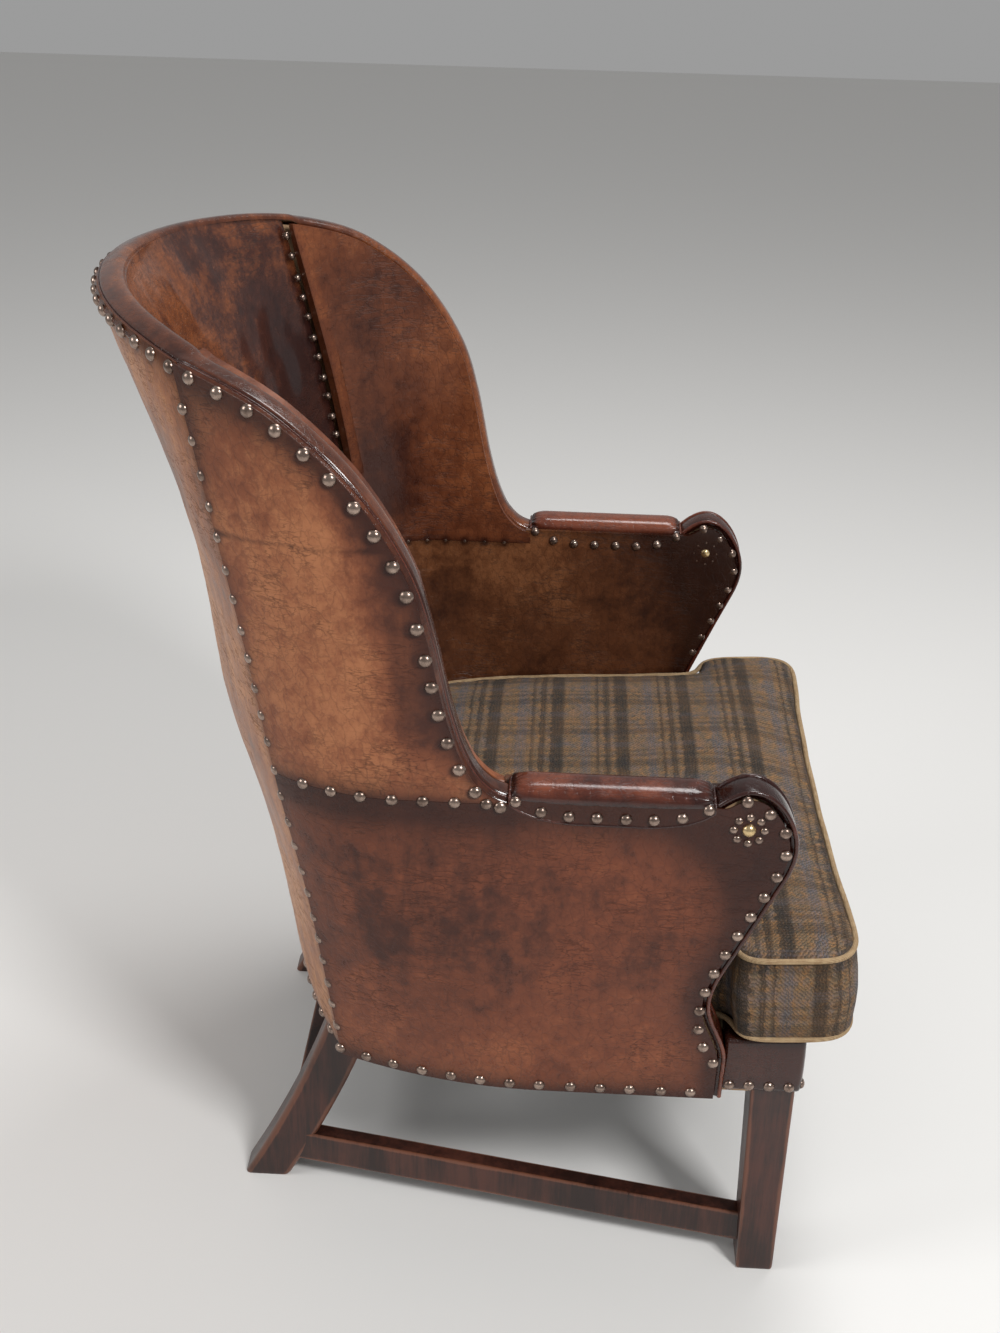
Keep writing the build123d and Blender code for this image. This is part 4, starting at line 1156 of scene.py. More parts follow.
NAIL_KINDS = {
    "rim_nails": NailKind(0.0064, 0.0046),
    "back_seam_nails": NailKind(0.0059, 0.0043),
    "arm_seam_nails": NailKind(0.0059, 0.0043),
    "inside_seam_nails": NailKind(0.0047, 0.0036),
    "arm_front_nails": NailKind(0.0059, 0.0043),
    "arm_pad_nails": NailKind(0.0057, 0.0042),
    "bottom_nails": NailKind(0.0059, 0.0043),
    "front_cover_nails": NailKind(0.0058, 0.0042),
    "rosette_nails": NailKind(0.0042, 0.0034),
    "rosette_bosses": NailKind(0.0068, 0.0056, 0.0),
}


@dataclass
class Nails:
    """All the nail heads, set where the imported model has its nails. Sizes are in metres."""

    tip: float = 0.0022
    flat: float = 0.0002
    toward_ridge: float = 0.0035
    back_from: float = 0.140
    back_shift: tuple[float, float] = (0.0062, -0.0038)
    probe: float = 0.012
    depth: float = 0.015
    lowest: float = -0.0008
    highest: float = 0.0065
    sunk: float = 0.0004
    places: dict[str, tuple[Array, Array]] = field(default_factory=dict)

    def __post_init__(self) -> None:
        """Read where each nail is."""
        for name, kind in NAIL_KINDS.items():
            self.places[name] = self._read(frame["nodes"][name], kind)

    def _read(self, node: Thing, kind: NailKind) -> tuple[Array, Array]:
        """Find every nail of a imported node.

        Args:
            node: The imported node.
            kind: The kind of nail.

        Returns:
            Centres of the heads' undersides and the directions that the heads face.
        """
        work = bmesh.new()
        work.from_mesh(node.data)
        bmesh.ops.remove_doubles(work, verts=work.verts, dist=1e-6)
        seen: set[int] = set()
        places, ways = [], []
        for first in work.verts:
            if first.index in seen:
                continue
            island, queue = [], [first]
            seen.add(first.index)
            while queue:
                here = queue.pop()
                island.append(here.co[:])
                for edge in here.link_edges:
                    other = edge.other_vert(here)
                    if other.index not in seen:
                        seen.add(other.index)
                        queue.append(other)
            points = np.array(island)
            far = points[np.argmax(np.linalg.norm(points - points.mean(axis=0), axis=1))]
            tip = points[np.linalg.norm(points - far, axis=1) < self.tip].mean(axis=0)
            away = np.linalg.norm(points - tip, axis=1)
            way = unit(points[away > away.max() - self.flat].mean(axis=0) - tip)
            places.append(tip + way * kind.shank)
            ways.append(way)
        work.free()
        return np.array(places), np.array(ways)

    def millimetres(self) -> Array:
        """All the nails' places in the forms' millimetres."""
        every = np.concatenate([p for p, _ in self.places.values()])
        return every / MM + (0, BODY.mid_depth, 0)

    def _raised(self, places: Array, ways: Array, ridge: Array) -> Array:
        """Places moved along the leather towards the ridge of the rim."""
        apart = np.linalg.norm(places[:, None] - ridge[None], axis=2)
        toward = ridge[apart.argmin(axis=1)] - places
        toward -= ways * np.sum(toward * ways, axis=1)[:, None]
        return places + self.toward_ridge * unit(toward)

    def _drawn_in(self, places: Array) -> Array:
        """Places of the nails beside the inside back seams moved towards the seam."""
        across, back = self.back_shift
        behind = places[:, 1] > self.back_from
        shift = np.column_stack([np.sign(places[:, 0]) * across, behind * back, behind * 0.0])
        shift[~behind] = 0.0
        return places + shift

    def _seated(self, places: Array, ways: Array, reach: float, hosts: list[BVHTree]) -> Array:
        """Rest nails on the dressed leather round them.

        Args:
            places: Places of the nails.
            ways: Directions that their heads face.
            reach: How far round each nail the leather is felt for.
            hosts: The leather.

        Returns:
            The places moved along the nails.
        """
        seated = places.copy()
        for i, (place, way) in enumerate(zip(places, ways)):
            first = unit(np.cross(way, (0.0, 0.0, 1.0) if abs(way[2]) < 0.9 else (1.0, 0.0, 0.0)))
            second = np.cross(way, first)
            found = []
            for a, b in ((0, 0), (1, 0), (-1, 0), (0, 1), (0, -1)):
                start = Vector(place + way * self.probe + (first * a + second * b) * reach)
                hits = (host.ray_cast(start, Vector(-way), self.depth) for host in hosts)
                met = [hit[3] for hit in hits if hit[0]]
                if met:
                    found.append(self.probe - min(met))
            if found:
                rise = float(np.mean(sorted(found)[-2:]))
                seated[i] = place + way * float(np.clip(rise, self.lowest, self.highest))
        return seated

    def build(self, maker: Maker, looks: Finishes) -> None:
        """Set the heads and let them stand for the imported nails."""
        hosts = []
        for dressed in bpy.context.scene.objects:
            if dressed.type == "MESH" and ("leather" in dressed.name or "pad_inside" in dressed.name):
                mesh = dressed.data
                hosts.append(BVHTree.FromPolygons([v.co for v in mesh.vertices],
                                                  [p.vertices for p in mesh.polygons]))
        ridge = metres(RimRoll().stations()[0])
        for seed, (name, kind) in enumerate(NAIL_KINDS.items()):
            places, ways = self.places[name]
            if name == "rim_nails":
                places = self._raised(places, ways, ridge)
            elif name == "inside_seam_nails":
                places = self._drawn_in(places)
            places = self._seated(places, ways, kind.radius * 0.6, hosts)
            brass = name == "rosette_bosses"
            made = maker.nail_row(f"heads_{name}", places - ways * self.sunk, ways, kind, seed,
                                  looks.brass if brass else looks.bronze)
            hand_in(made, "boss_brass" if brass else "nail_bronze", name)


# Leather panels


@dataclass(frozen=True)
class PanelLook:
    """How a leather panel is stuffed and drawn in at its edges, and where painted shade and highlight fall on
    it, in millimetres.
    """

    bulge: float = 2.5
    reach: float = 24.0
    tuck: float = 1.6
    uneven: float = 0.9
    # Darkness in from each edge and how far it reaches: painted shade where the panel dips into its seams
    dark: tuple[float, float, float, float] = (1.0, 1.0, 1.0, 1.0)
    shade: float = 22.0
    proud: tuple[float, float, float, float] = (0.0, 0.0, 0.0, 0.0)
    stitch: float = 3.0
    swell: float = 20.0
    ease: float = 18.0
    waves: tuple[float, float] = (95.0, 38.0)
    dimple: tuple[float, float] = (0.9, 8.0)
    # Painted shadow round each nail head: its darkness and reach
    halo: tuple[float, float] = (0.95, 7.5)
    # Painted highlight in a band a little in from the edges, where the stuffing rounds over: strength,
    # distance in and width
    rubbed: tuple[float, float, float] = (0.12, 11.0, 6.0)


@dataclass
class Upholstery:
    """The leather panels outside and inside the barrel wall, in millimetres."""

    looks: Finishes
    nails: Nails
    skin: float = 3.0
    drop: float = 6.5
    gap: float = 0.3
    lap: float = 1.5
    low: float = 276.0
    top: float = 985.0
    corner: float = 800.0
    front_in: float = 6.3
    scroll_y: float = 47.0
    scroll_z: float = 575.0
    fold_ys: tuple[float, ...] = (401.0, 407.0, 416.0, 440.0, 476.0, 500.0)
    fold_zs: tuple[float, ...] = (600.0, 700.0, 780.0, 860.0, 926.0, 960.0)
    crack_ys: tuple[float, ...] = (406.0, 454.0, 490.0, 534.0)
    crack_zs: tuple[float, ...] = (838.0, 830.0, 830.0, 826.0)

    def __post_init__(self) -> None:
        """Note where the nails press."""
        self.pins = search_tree(self.nails.millimetres())

    def _pressed(self, grid: Array) -> Array:
        """Distance from each point of a grid to the nearest nail."""
        return np.array([self.pins.find(Vector(p))[2] for p in grid.reshape(-1, 3)]).reshape(grid.shape[:2])

    def panel(self, name: str, node: str, grid: Array, thickness: float, look: PanelLook, seed: int,
              extra: Array | float = 0.0, patina: Array | float = 0.0, sun: Array | float = 0.0,
              turned: bool = False) -> None:
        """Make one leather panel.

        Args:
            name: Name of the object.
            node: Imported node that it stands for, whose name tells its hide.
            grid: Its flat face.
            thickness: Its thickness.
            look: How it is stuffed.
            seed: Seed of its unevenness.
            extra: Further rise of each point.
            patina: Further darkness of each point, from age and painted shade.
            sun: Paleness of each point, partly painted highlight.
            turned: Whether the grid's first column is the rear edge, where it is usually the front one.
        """
        away = edge_distances(grid)
        if turned:
            away = away[[1, 0, 2, 3]]
        near = away.min(axis=0)
        sewn = away[np.array(look.proud) == 0].min(axis=0)
        pins = self._pressed(grid)
        lift = look.bulge * (1 - np.exp(-near / look.reach)) - look.tuck * hill(sewn, 0, look.stitch)
        for rise, distance in zip(look.proud, away):
            lift = lift + rise * hill(distance, 0, look.swell)
        inside = 1 - np.exp(-near / look.ease)
        broad, fine = (wander(grid, seed + i * 50, wave) for i, wave in enumerate(look.waves))
        lift = lift + inside * look.uneven * (broad + 0.5 * fine)
        lift = lift - look.dimple[0] * hill(pins, 0, look.dimple[1]) + extra * inside
        # Painted shadow round each nail, then painted shade in from each seam
        dark = look.halo[0] * hill(pins, 0, look.halo[1])
        for share, distance in zip(look.dark, away):
            dark = np.maximum(dark, share * np.exp(-distance / look.shade))
        # Paleness, with a painted highlight in a band a little in from the edges
        pale = sun + look.rubbed[0] * hill(near, *look.rubbed[1:])
        marks = {"patina": np.clip(dark + patina, 0, 1.2), "sun": np.clip(pale, 0, 1)}
        face, part = node.split("_")[:2]
        hand_in(shell(name, grid, thickness, lift, marks), f"{face}_leather", node,
                finish=self.looks.hides[f"{face}_{part}"])

    def _wing_region(self, face: Face, rows: int, columns: int) -> Array:
        """Side-view grid of a wing panel."""
        low = BODY.split(face) + self.gap / 2
        rim = BODY.dropped_rim(self.drop if face is Face.OUTER else self.drop - self.lap)
        seam = BODY.seam(face, np.linspace(low, self.top, 200))
        start = int(np.argmax(rim[:, 1] > low))
        behind = np.interp(rim[:, 1], seam[:, 1], seam[:, 0])
        end = int(np.argmax((rim[:, 0] > behind) & (rim[:, 1] > self.corner - 100)))
        rim = rim[start:end]
        seam = np.concatenate([seam[seam[:, 1] < rim[-1, 1]], rim[-1:]])
        corner = int(np.argmax(rim[:, 1] > self.corner))
        bottom = np.array([rim[0], seam[0]])
        bottom[:, 1] = low
        left = rim[:corner + 1].copy()
        left[0, 1] = low
        return coons(bottom, rim[corner:], left, seam, rows, columns)

    def _arm_region(self, face: Face, low: float, rows: int, columns: int) -> Array:
        """Side-view grid of a panel below the arm."""
        high = BODY.split(face) - self.gap / 2
        crest = BODY.arm_top - 0.4
        edge = BODY.front(self.front_in)
        edge = edge[edge[:, 1] > low]
        edge[0, 1] = low
        far = np.where(edge[:, 1] > self.scroll_z, 0, 1000)
        corner = int(np.argmin(np.abs(edge[:, 0] - self.scroll_y) + far))
        seam = BODY.seam(face, np.linspace(low, high, 160))
        over = edge[corner:]
        peak = int(np.argmax(over[:, 1]))
        over = np.concatenate([over[:peak], over[peak:][over[peak:, 1] > crest]])
        step = BODY.depth * BODY.rim_ys[0] + (0.0 if face is Face.OUTER else 8.0)
        top = np.concatenate([over, [(over[-1, 0] + 4, crest), (step, crest), (step + 3, high)], [seam[-1]]])
        return coons(np.array([edge[0], seam[0]]), top, edge[:corner + 1], seam, rows, columns)

    def build(self) -> None:
        """Make every panel."""
        self.outside()
        self.inside()

    def outside(self) -> None:
        """Make the panels that show from outside."""
        wing = self._wing_region(Face.OUTER, 96, 84)
        arm = self._arm_region(Face.OUTER, BODY.bottom, 100, 112)
        for side in Side:
            turned = side is Side.LEFT
            grid = laid(wing, side, 0.0)[:, ::-1]
            y, z = grid[..., 1], grid[..., 2]
            line = np.interp(z, self.fold_zs, self.fold_ys)
            fold = 3.2 * hill(y, line, 15.0) - 2.6 * hill(y, line - 34, 22.0)
            fade = ramp(z, 612, 60) * ramp(z, 940, -70)
            top = ramp(z, 830, 130)
            # Painted highlight on the slope behind the fold and painted shade over the hollow in front of it;
            # the wing is also paler behind the fold and darker towards the top, with a crack line on the
            # right wing
            pale = 0.9 * hill(y, line + 24, 26.0) * fade + 0.35 * ramp(y, line, 60)
            band = 0.32 * ramp(y, line + 3, -12) * fade
            crack = hill(z, np.interp(y, self.crack_ys, self.crack_zs), 2.8) * ramp(y, 400, 12)
            dark = 0.32 * top + band + 0.42 * crack * (side is Side.RIGHT)
            self.panel(f"wing_leather_outside_{side.word}", f"outside_wing_{side.word}", grid, self.skin,
                       PanelLook(dark=(0.65, 0.45, 0.7, 0.75)), 3 + side.value, fold * fade, dark,
                       pale * (1 - top), turned)
            grid = laid(arm, side, 0.0)[:, ::-1]
            y, z = grid[..., 1], grid[..., 2]
            scroll = hill(y, 60, 70.0) * hill(z, 560, 70.0)
            pale = 0.5 * ramp(y, 330, 130) + 0.15 * ramp(z, 380, -120)
            look = PanelLook(bulge=4.0, reach=30.0, dark=(1.0, 0.45, 0.8, 1.0), shade=30.0)
            self.panel(f"side_leather_outside_{side.word}", f"outside_side_{side.word}", grid, self.skin,
                       look, 13 + side.value, 0.0, 0.75 * scroll + 0.22 * ramp(z, 500, 80), pale, turned)
        share = np.linspace(-1, 1, 96)[None, :]
        level = np.linspace(0, 1, 120)[:, None]
        ridge = BODY.at_turn(share, BODY.height - 25, BODY.wall / 2)[..., 1]
        z = BODY.bottom + (BODY.rim_height(ridge) - self.drop + 1 - BODY.bottom) * level
        grid = BODY.at_turn(np.broadcast_to(share, z.shape), z, 0.0)[:, ::-1]
        self.panel("back_leather_outside", "outside_back", grid, self.skin,
                   PanelLook(dark=(0.6, 0.6, 0.9, 0.9)), 23, sun=0.25)

    def inside(self) -> None:
        """Make the stuffed panels that face the sitter."""
        deep = BODY.wall - BODY.frame - self.lap
        wing = self._wing_region(Face.INNER, 90, 80)
        arm = self._arm_region(Face.INNER, self.low, 80, 104)
        wing_look = PanelLook(6.0, 26.0, 1.5, 1.4, (0.1, 0.45, 0.6, 0.0), 7.0, (-2.8, 0.0, 0.0, -2.8))
        arm_look = PanelLook(6.5, 26.0, 2.4, 1.4, (0.9, 1.0, 0.6, 0.45), 18.0)
        back_look = PanelLook(7.0, 34.0, 1.5, 1.8, (0.5, 0.5, 0.4, 0.0), 7.0, (0.0, 0.0, 0.0, -2.8))
        for side in Side:
            turned = side is Side.RIGHT
            grid = laid(wing, side, BODY.wall - self.lap)
            y, z = grid[..., 1], grid[..., 2]
            pale = 0.5 * (hill(y, 360, 60.0) * hill(z, 640, 120.0)) + 0.6 * ramp(z, 860, 110)
            self.panel(f"wing_pad_inside_{side.word}", f"inside_wing_{side.word}", grid, deep, wing_look,
                       33 + side.value, sun=pale, turned=turned)
            grid = laid(arm, side, BODY.wall - self.lap)
            y, z = grid[..., 1], grid[..., 2]
            dark = 0.85 * (hill(y, 50, 85.0) * hill(z, 560, 80.0)) + 0.35 * ramp(y, 170, -120)
            # Painted highlight towards the back and top of the inside arm
            pale = 0.75 * (ramp(y, 240, 80) * ramp(z, 480, 60))
            self.panel(f"arm_pad_inside_{side.word}", f"inside_arm_{side.word}", grid, deep, arm_look,
                       43 + side.value, 0.0, dark, pale, turned)
        heights = np.linspace(self.low, self.top, 260)
        seam = BODY.inner_seam(heights)
        _, _, _, _, back, _, centre = BODY.plan(heights, BODY.wall)
        turn = np.arctan2(seam[:, 0], seam[:, 1] - centre)
        share = np.linspace(-1, 1, 90)[None, :]
        level = np.linspace(0, 1, 110)[:, None]
        near_top = self.top - 25
        _, _, sx, sy, _, _, middle = (float(v) for v in BODY.plan(near_top, BODY.wall))
        most = float(np.interp(near_top, heights, turn)) / math.atan2(sx, sy - middle)
        ridge = BODY.at_turn(share * most, BODY.height - 25, BODY.wall / 2)[..., 1]
        z = self.low + (BODY.rim_height(ridge) - 3.0 - self.low) * level
        angle = share * np.interp(z, heights, turn)
        radius = np.interp(z, heights, back - centre) + self.lap
        y = np.interp(z, heights, centre) + np.cos(angle) * radius
        grid = np.stack([np.sin(angle) * radius, y, z], axis=-1)
        self.panel("back_pad_inside", "inside_back", grid, deep, back_look, 53, sun=0.85 * ramp(z, 790, 140))


# Trim


@dataclass(frozen=True)
class RimRoll:
    """Padded roll along the rim, in millimetres."""

    tall: float = 9.0
    side: float = 2.4
    lap: float = 1.2
    slim: float = 4.5
    crease_at: float = 0.74
    crease_deep: float = 0.22
    crease: float = 1.5
    welt: float = 1.1

    def stations(self) -> tuple[Array, Array]:
        """Ridge points and outward directions from one arm over the crest to the other."""
        middle = BODY.wall / 2
        shares = np.linspace(0.02, 1, 420)
        line = BODY.rim(shares)
        seam = BODY.plan(line[:, 1], middle)[3]
        line = line[:int(np.argmax(line[:, 0] > seam))]
        side = BODY.at_depth(line[:, 0], line[:, 1], middle)
        turn = np.linspace(1, 0, 60)[1:]
        z = np.full(turn.shape, BODY.height)
        for _ in range(12):
            z = BODY.rim_height(BODY.at_turn(turn, z, middle)[:, 1])
        back = BODY.at_turn(turn, z, middle)
        points = resampled(np.concatenate([side, back]), 230)
        points[-1, 0] = 0.0
        outs = self._outward(points, 0.5)
        flip = np.array([-1, 1, 1])
        points = np.concatenate([points, points[-2::-1] * flip])
        outs = np.concatenate([outs, outs[-2::-1] * flip])
        for _ in range(6):
            outs[1:-1] = (outs[:-2] + 2 * outs[1:-1] + outs[2:]) / 4
        return points, unit(outs)

    @staticmethod
    def _outward(points: Array, step: float) -> Array:
        """Directions square to the wall's middle surface.

        Args:
            points: Points of the ridge on one side, up to the middle of the back.
            step: Rise over which the surface's lean is read.

        Returns:
            One unit direction a point, the last one without a sideways part.
        """
        middle = BODY.wall / 2
        outs = np.zeros_like(points)
        for i, p in enumerate(points):
            width, turn, _, sy, _, radius, centre = (float(v) for v in BODY.plan(p[2], middle))
            if p[1] <= sy and p[0] > 0:
                out = np.array([1.0, 0, 0])
                if p[1] > turn:
                    out = np.array([p[0] - (width - radius), p[1] - turn, 0]) / radius
                lean = float((BODY.at_depth(p[1], p[2] + step, middle) - p) @ out) / step
            else:
                out = unit(np.array([p[0], p[1] - centre, 0]))
                rise = BODY.at_turn(0.0, p[2] + step, middle) - BODY.at_turn(0.0, p[2], middle)
                lean = float(rise[1]) / step
            outs[i] = (out[0], out[1], -lean)
        outs = unit(outs)
        outs[-1, 0] = 0.0
        return outs

    def profile(self) -> Array:
        """Section from the inner bottom edge over the ridge to the outer one, as (out, into wall) rows."""
        half = BODY.wall / 2
        out, deep = half * self.crease_at, self.tall * self.crease_deep
        inner = half - self.slim
        knots = np.array([
            (-inner - 0.4, self.tall), (-inner - 1.0, self.tall * 0.62), (-inner * 0.86, self.tall * 0.26),
            (-inner * 0.5, self.tall * 0.06), (0.0, 0.0), (half * 0.38, self.tall * 0.03),
            (out - 2.6, deep - 1.7), (out - 1.0, deep - 0.2), (out, deep + self.crease),
            (out + 1.2, deep + 0.1), (half + self.side - 0.6, self.tall * 0.58),
            (half + self.side, self.tall * 0.78),
            (half + self.lap, self.tall)])
        return resampled(rounded(knots, 2), 44)

    def build(self, maker: Maker, looks: Finishes) -> None:
        """Make the roll and the welt along its crease."""
        points, outs = self.stations()
        along = directions(points)
        outs = unit(outs - along * np.sum(outs * along, axis=1)[:, None])
        inward = np.cross(along, outs)
        section = self.profile()
        ring = np.concatenate([section, resampled(np.array([section[-1], section[0]]), 8)[1:-1]])
        puff = 0.5 * wander(points, 5, 60.0)
        grid = (points[:, None] + outs[:, None] * ring[None, :, :1] * (1 + 0.006 * puff[:, None, None])
                + inward[:, None] * ring[None, :, 1:])
        made = make_object("rim_roll_leather", grid.reshape(-1, 3), tube_faces(*grid.shape[:2]))
        outward(made)
        crease = BODY.wall / 2 * self.crease_at
        outer = ramp(ring[:, 0], 0, 6)
        # Painted shade in the crease and where the roll's outer side meets the wall; the inner half is paler,
        # partly painted highlight
        dark = (hill(ring[:, 0], crease, 1.5) + 0.6 * hill(ring[:, 1], self.tall, 3.0)) * outer
        pale = 0.05 + 0.60 * ramp(ring[:, 0], 4, -12)
        set_attribute(made, "patina", np.broadcast_to(np.clip(dark, 0, 1.2), grid.shape[:2]))
        set_attribute(made, "sun", np.broadcast_to(pale, grid.shape[:2]))
        hand_in(made, "trim_leather", "rim_roll_back", "rim_roll_left", "rim_roll_right", fill=0.9,
                finish=looks.hides["rim"])
        line = points + outs * (crease + 0.4) + inward * (self.tall * self.crease_deep + 0.6)
        hand_in(maker.welt("rim_welt", [line], self.welt, looks.trim), "trim_leather")


@dataclass(frozen=True)
class ArmFront:
    """Leather strip round the front edge of an arm, with a welt at each side, in millimetres."""

    thick: float = 5.5
    crown: float = 2.2
    welt: float = 2.3
    welt_in: float = 0.9
    rail_top: float = 276.0
    flat: float = 3.0

    def build(self, side: Side, maker: Maker, looks: Finishes) -> None:
        """Make one strip.

        Args:
            side: The side of the chair.
            maker: The trees for the welts.
            looks: The finishes.
        """
        edge = resampled(BODY.front(0.0), 150)
        low = edge[:, 1] < self.rail_top
        rows = []
        for inset in np.linspace(0.4, BODY.wall - 0.4, 30):
            rise = self.crown * (1 - ((inset - BODY.wall / 2) / (BODY.wall / 2)) ** 2) - 0.4
            y, z = moved_aside(edge, -rise).T
            rows.append(BODY.at_depth(y, np.clip(z, BODY.bottom, BODY.height), float(inset)))
        grid = np.stack(rows, axis=1)
        grid[low] = grid[low][:, :1] + (grid[low] - grid[low][:, :1]) * (self.flat / BODY.wall)
        grid = flipped(grid, side)
        if float(np.mean(normals(grid)[60:90, :, 1])) > 0:
            grid = grid[:, ::-1]
        away = edge_distances(grid)[:2].min(axis=0)
        # Darker towards both edges, with a painted highlight along the crown of the strip
        marks = {"patina": 0.45 + 0.5 * np.exp(-away / 6.0), "sun": 0.2 * hill(away, 22, 12.0)}
        uneven = 0.35 * wander(grid, 71 + side.value, 45.0)
        made = shell(f"arm_front_leather_{side.word}", grid, self.thick, uneven, marks)
        hand_in(made, "trim_leather", f"arm_facing_{side.word}", finish=looks.trim)
        upper = edge[edge[:, 1] > self.rail_top]
        lines = [BODY.at_depth(line[:, 0], line[:, 1], inset) * (side.value, 1, 1)
                 for inset, line in ((self.welt_in, edge), (BODY.wall - self.welt_in, upper))]
        hand_in(maker.welt(f"arm_front_welt_{side.word}", lines, self.welt, looks.trim), "trim_leather")


@dataclass(frozen=True)
class ArmPad:
    """Padded saddle nailed over an arm, in millimetres."""

    start: float = 110.0
    end: float = 296.0
    side_reach: float = 2.4
    top: float = 12.5
    drop: float = 25.0
    flange: float = 19.0
    ends: float = 0.11
    welt: float = 1.5
    stations: tuple[float, ...] = (0.0, 0.05, 0.16, 0.34, 0.66, 0.84, 0.95, 1.0)
    full: tuple[float, ...] = (0.30, 0.55, 0.86, 1.0, 1.0, 0.86, 0.55, 0.30)

    def _section(self, full: float, plump: float) -> tuple[Array, float]:
        """Section of the pad across the arm.

        Args:
            full: Share of the full depth of its flanges there.
            plump: Share of its full stuffing there.

        Returns:
            Points as (x, z) rows from one flange over the top to the other, and the height of the seam.
        """
        half = BODY.wall / 2
        low = BODY.arm_top - self.drop * full + 0.4
        band = low + self.flange * full
        top = BODY.arm_top + 1.2 + self.top * plump
        reach = half + 1.6 + self.side_reach * plump
        section = np.array([
            (half + 1.5, low), (half + 1.9, (low + band) / 2), (half + 1.5, band - 1.0), (half + 1.0, band),
            (half + 1.4 + 1.2 * plump, band + 1.4), (reach, band + (top - band) * 0.30),
            (reach - 0.8, band + (top - band) * 0.52), (reach * 0.84, band + (top - band) * 0.78),
            (reach * 0.56, band + (top - band) * 0.94), (reach * 0.26, top), (0.0, top)])
        return resampled(rounded(np.concatenate([section, section[-2::-1] * (-1, 1)]), 2), 64), band

    def build(self, side: Side, maker: Maker, looks: Finishes) -> None:
        """Make one pad.

        Args:
            side: The side of the chair.
            maker: The trees for the welt.
            looks: The finishes.
        """
        middle = float(BODY.plan(BODY.arm_top, BODY.wall / 2)[0])
        most = BODY.wall / 2 + 0.2
        runs = 0.5 - 0.5 * np.cos(np.linspace(0, math.pi, 110))
        fulls = smooth(self.stations, self.full, runs)
        ends = np.minimum(runs, 1 - runs)
        outer, lower = [], []
        for run, full, end in zip(runs, fulls, ends):
            ring, band = self._section(full, math.sqrt(max(1 - (1 - min(end / self.ends, 1.0)) ** 2, 0.0)))
            above = ring[:, 1] > band
            turn = np.arctan2(ring[:, 1] - band, ring[:, 0])
            fold = 1 + 0.07 * hill(end, 0, 0.05) * np.sin(turn * 15) * above
            y = np.full(len(ring), self.start + run * (self.end - self.start))
            z = np.where(above, band + (ring[:, 1] - band) * fold, ring[:, 1])
            outer.append(np.stack([middle + ring[:, 0] * fold, y, z], axis=1))
            lower.append(np.stack([middle + np.clip(ring[:, 0], -most, most), y,
                                   np.minimum(ring[:, 1], BODY.arm_top + 0.3)], axis=1))
        outer, lower = np.array(outer), np.array(lower)
        foot = outer[..., 2] - (BODY.arm_top + (self.flange - self.drop) * fulls)[:, None]
        # Painted shade at the foot of the roll, on the flange under it, in the gathered ends and along the
        # arm's top; painted highlight on the roll above the flange
        dark = (0.12 + 0.8 * hill(ends, 0, 0.035)[:, None] + 0.9 * hill(foot, 0, 2.2) + 0.45 * (foot < 0)
                + 0.25 * hill(outer[..., 2], BODY.arm_top, 6.0))
        flip = (side.value, 1, 1)
        made = closed_sheet(f"arm_pad_leather_{side.word}", outer * flip, lower * flip,
                            {"patina": dark, "sun": ramp(foot, 3, 10)})
        hand_in(made, "trim_leather", f"arm_pad_{side.word}", fill=0.85, finish=looks.trim)
        edges = (outer[:, 0], outer[:, -1], outer[1], outer[-2])
        lines = [rounded(line, 1) * flip + (0, 0, 0.6) for line in edges]
        hand_in(maker.welt(f"arm_pad_welt_{side.word}", lines, self.welt, looks.trim), "trim_leather")


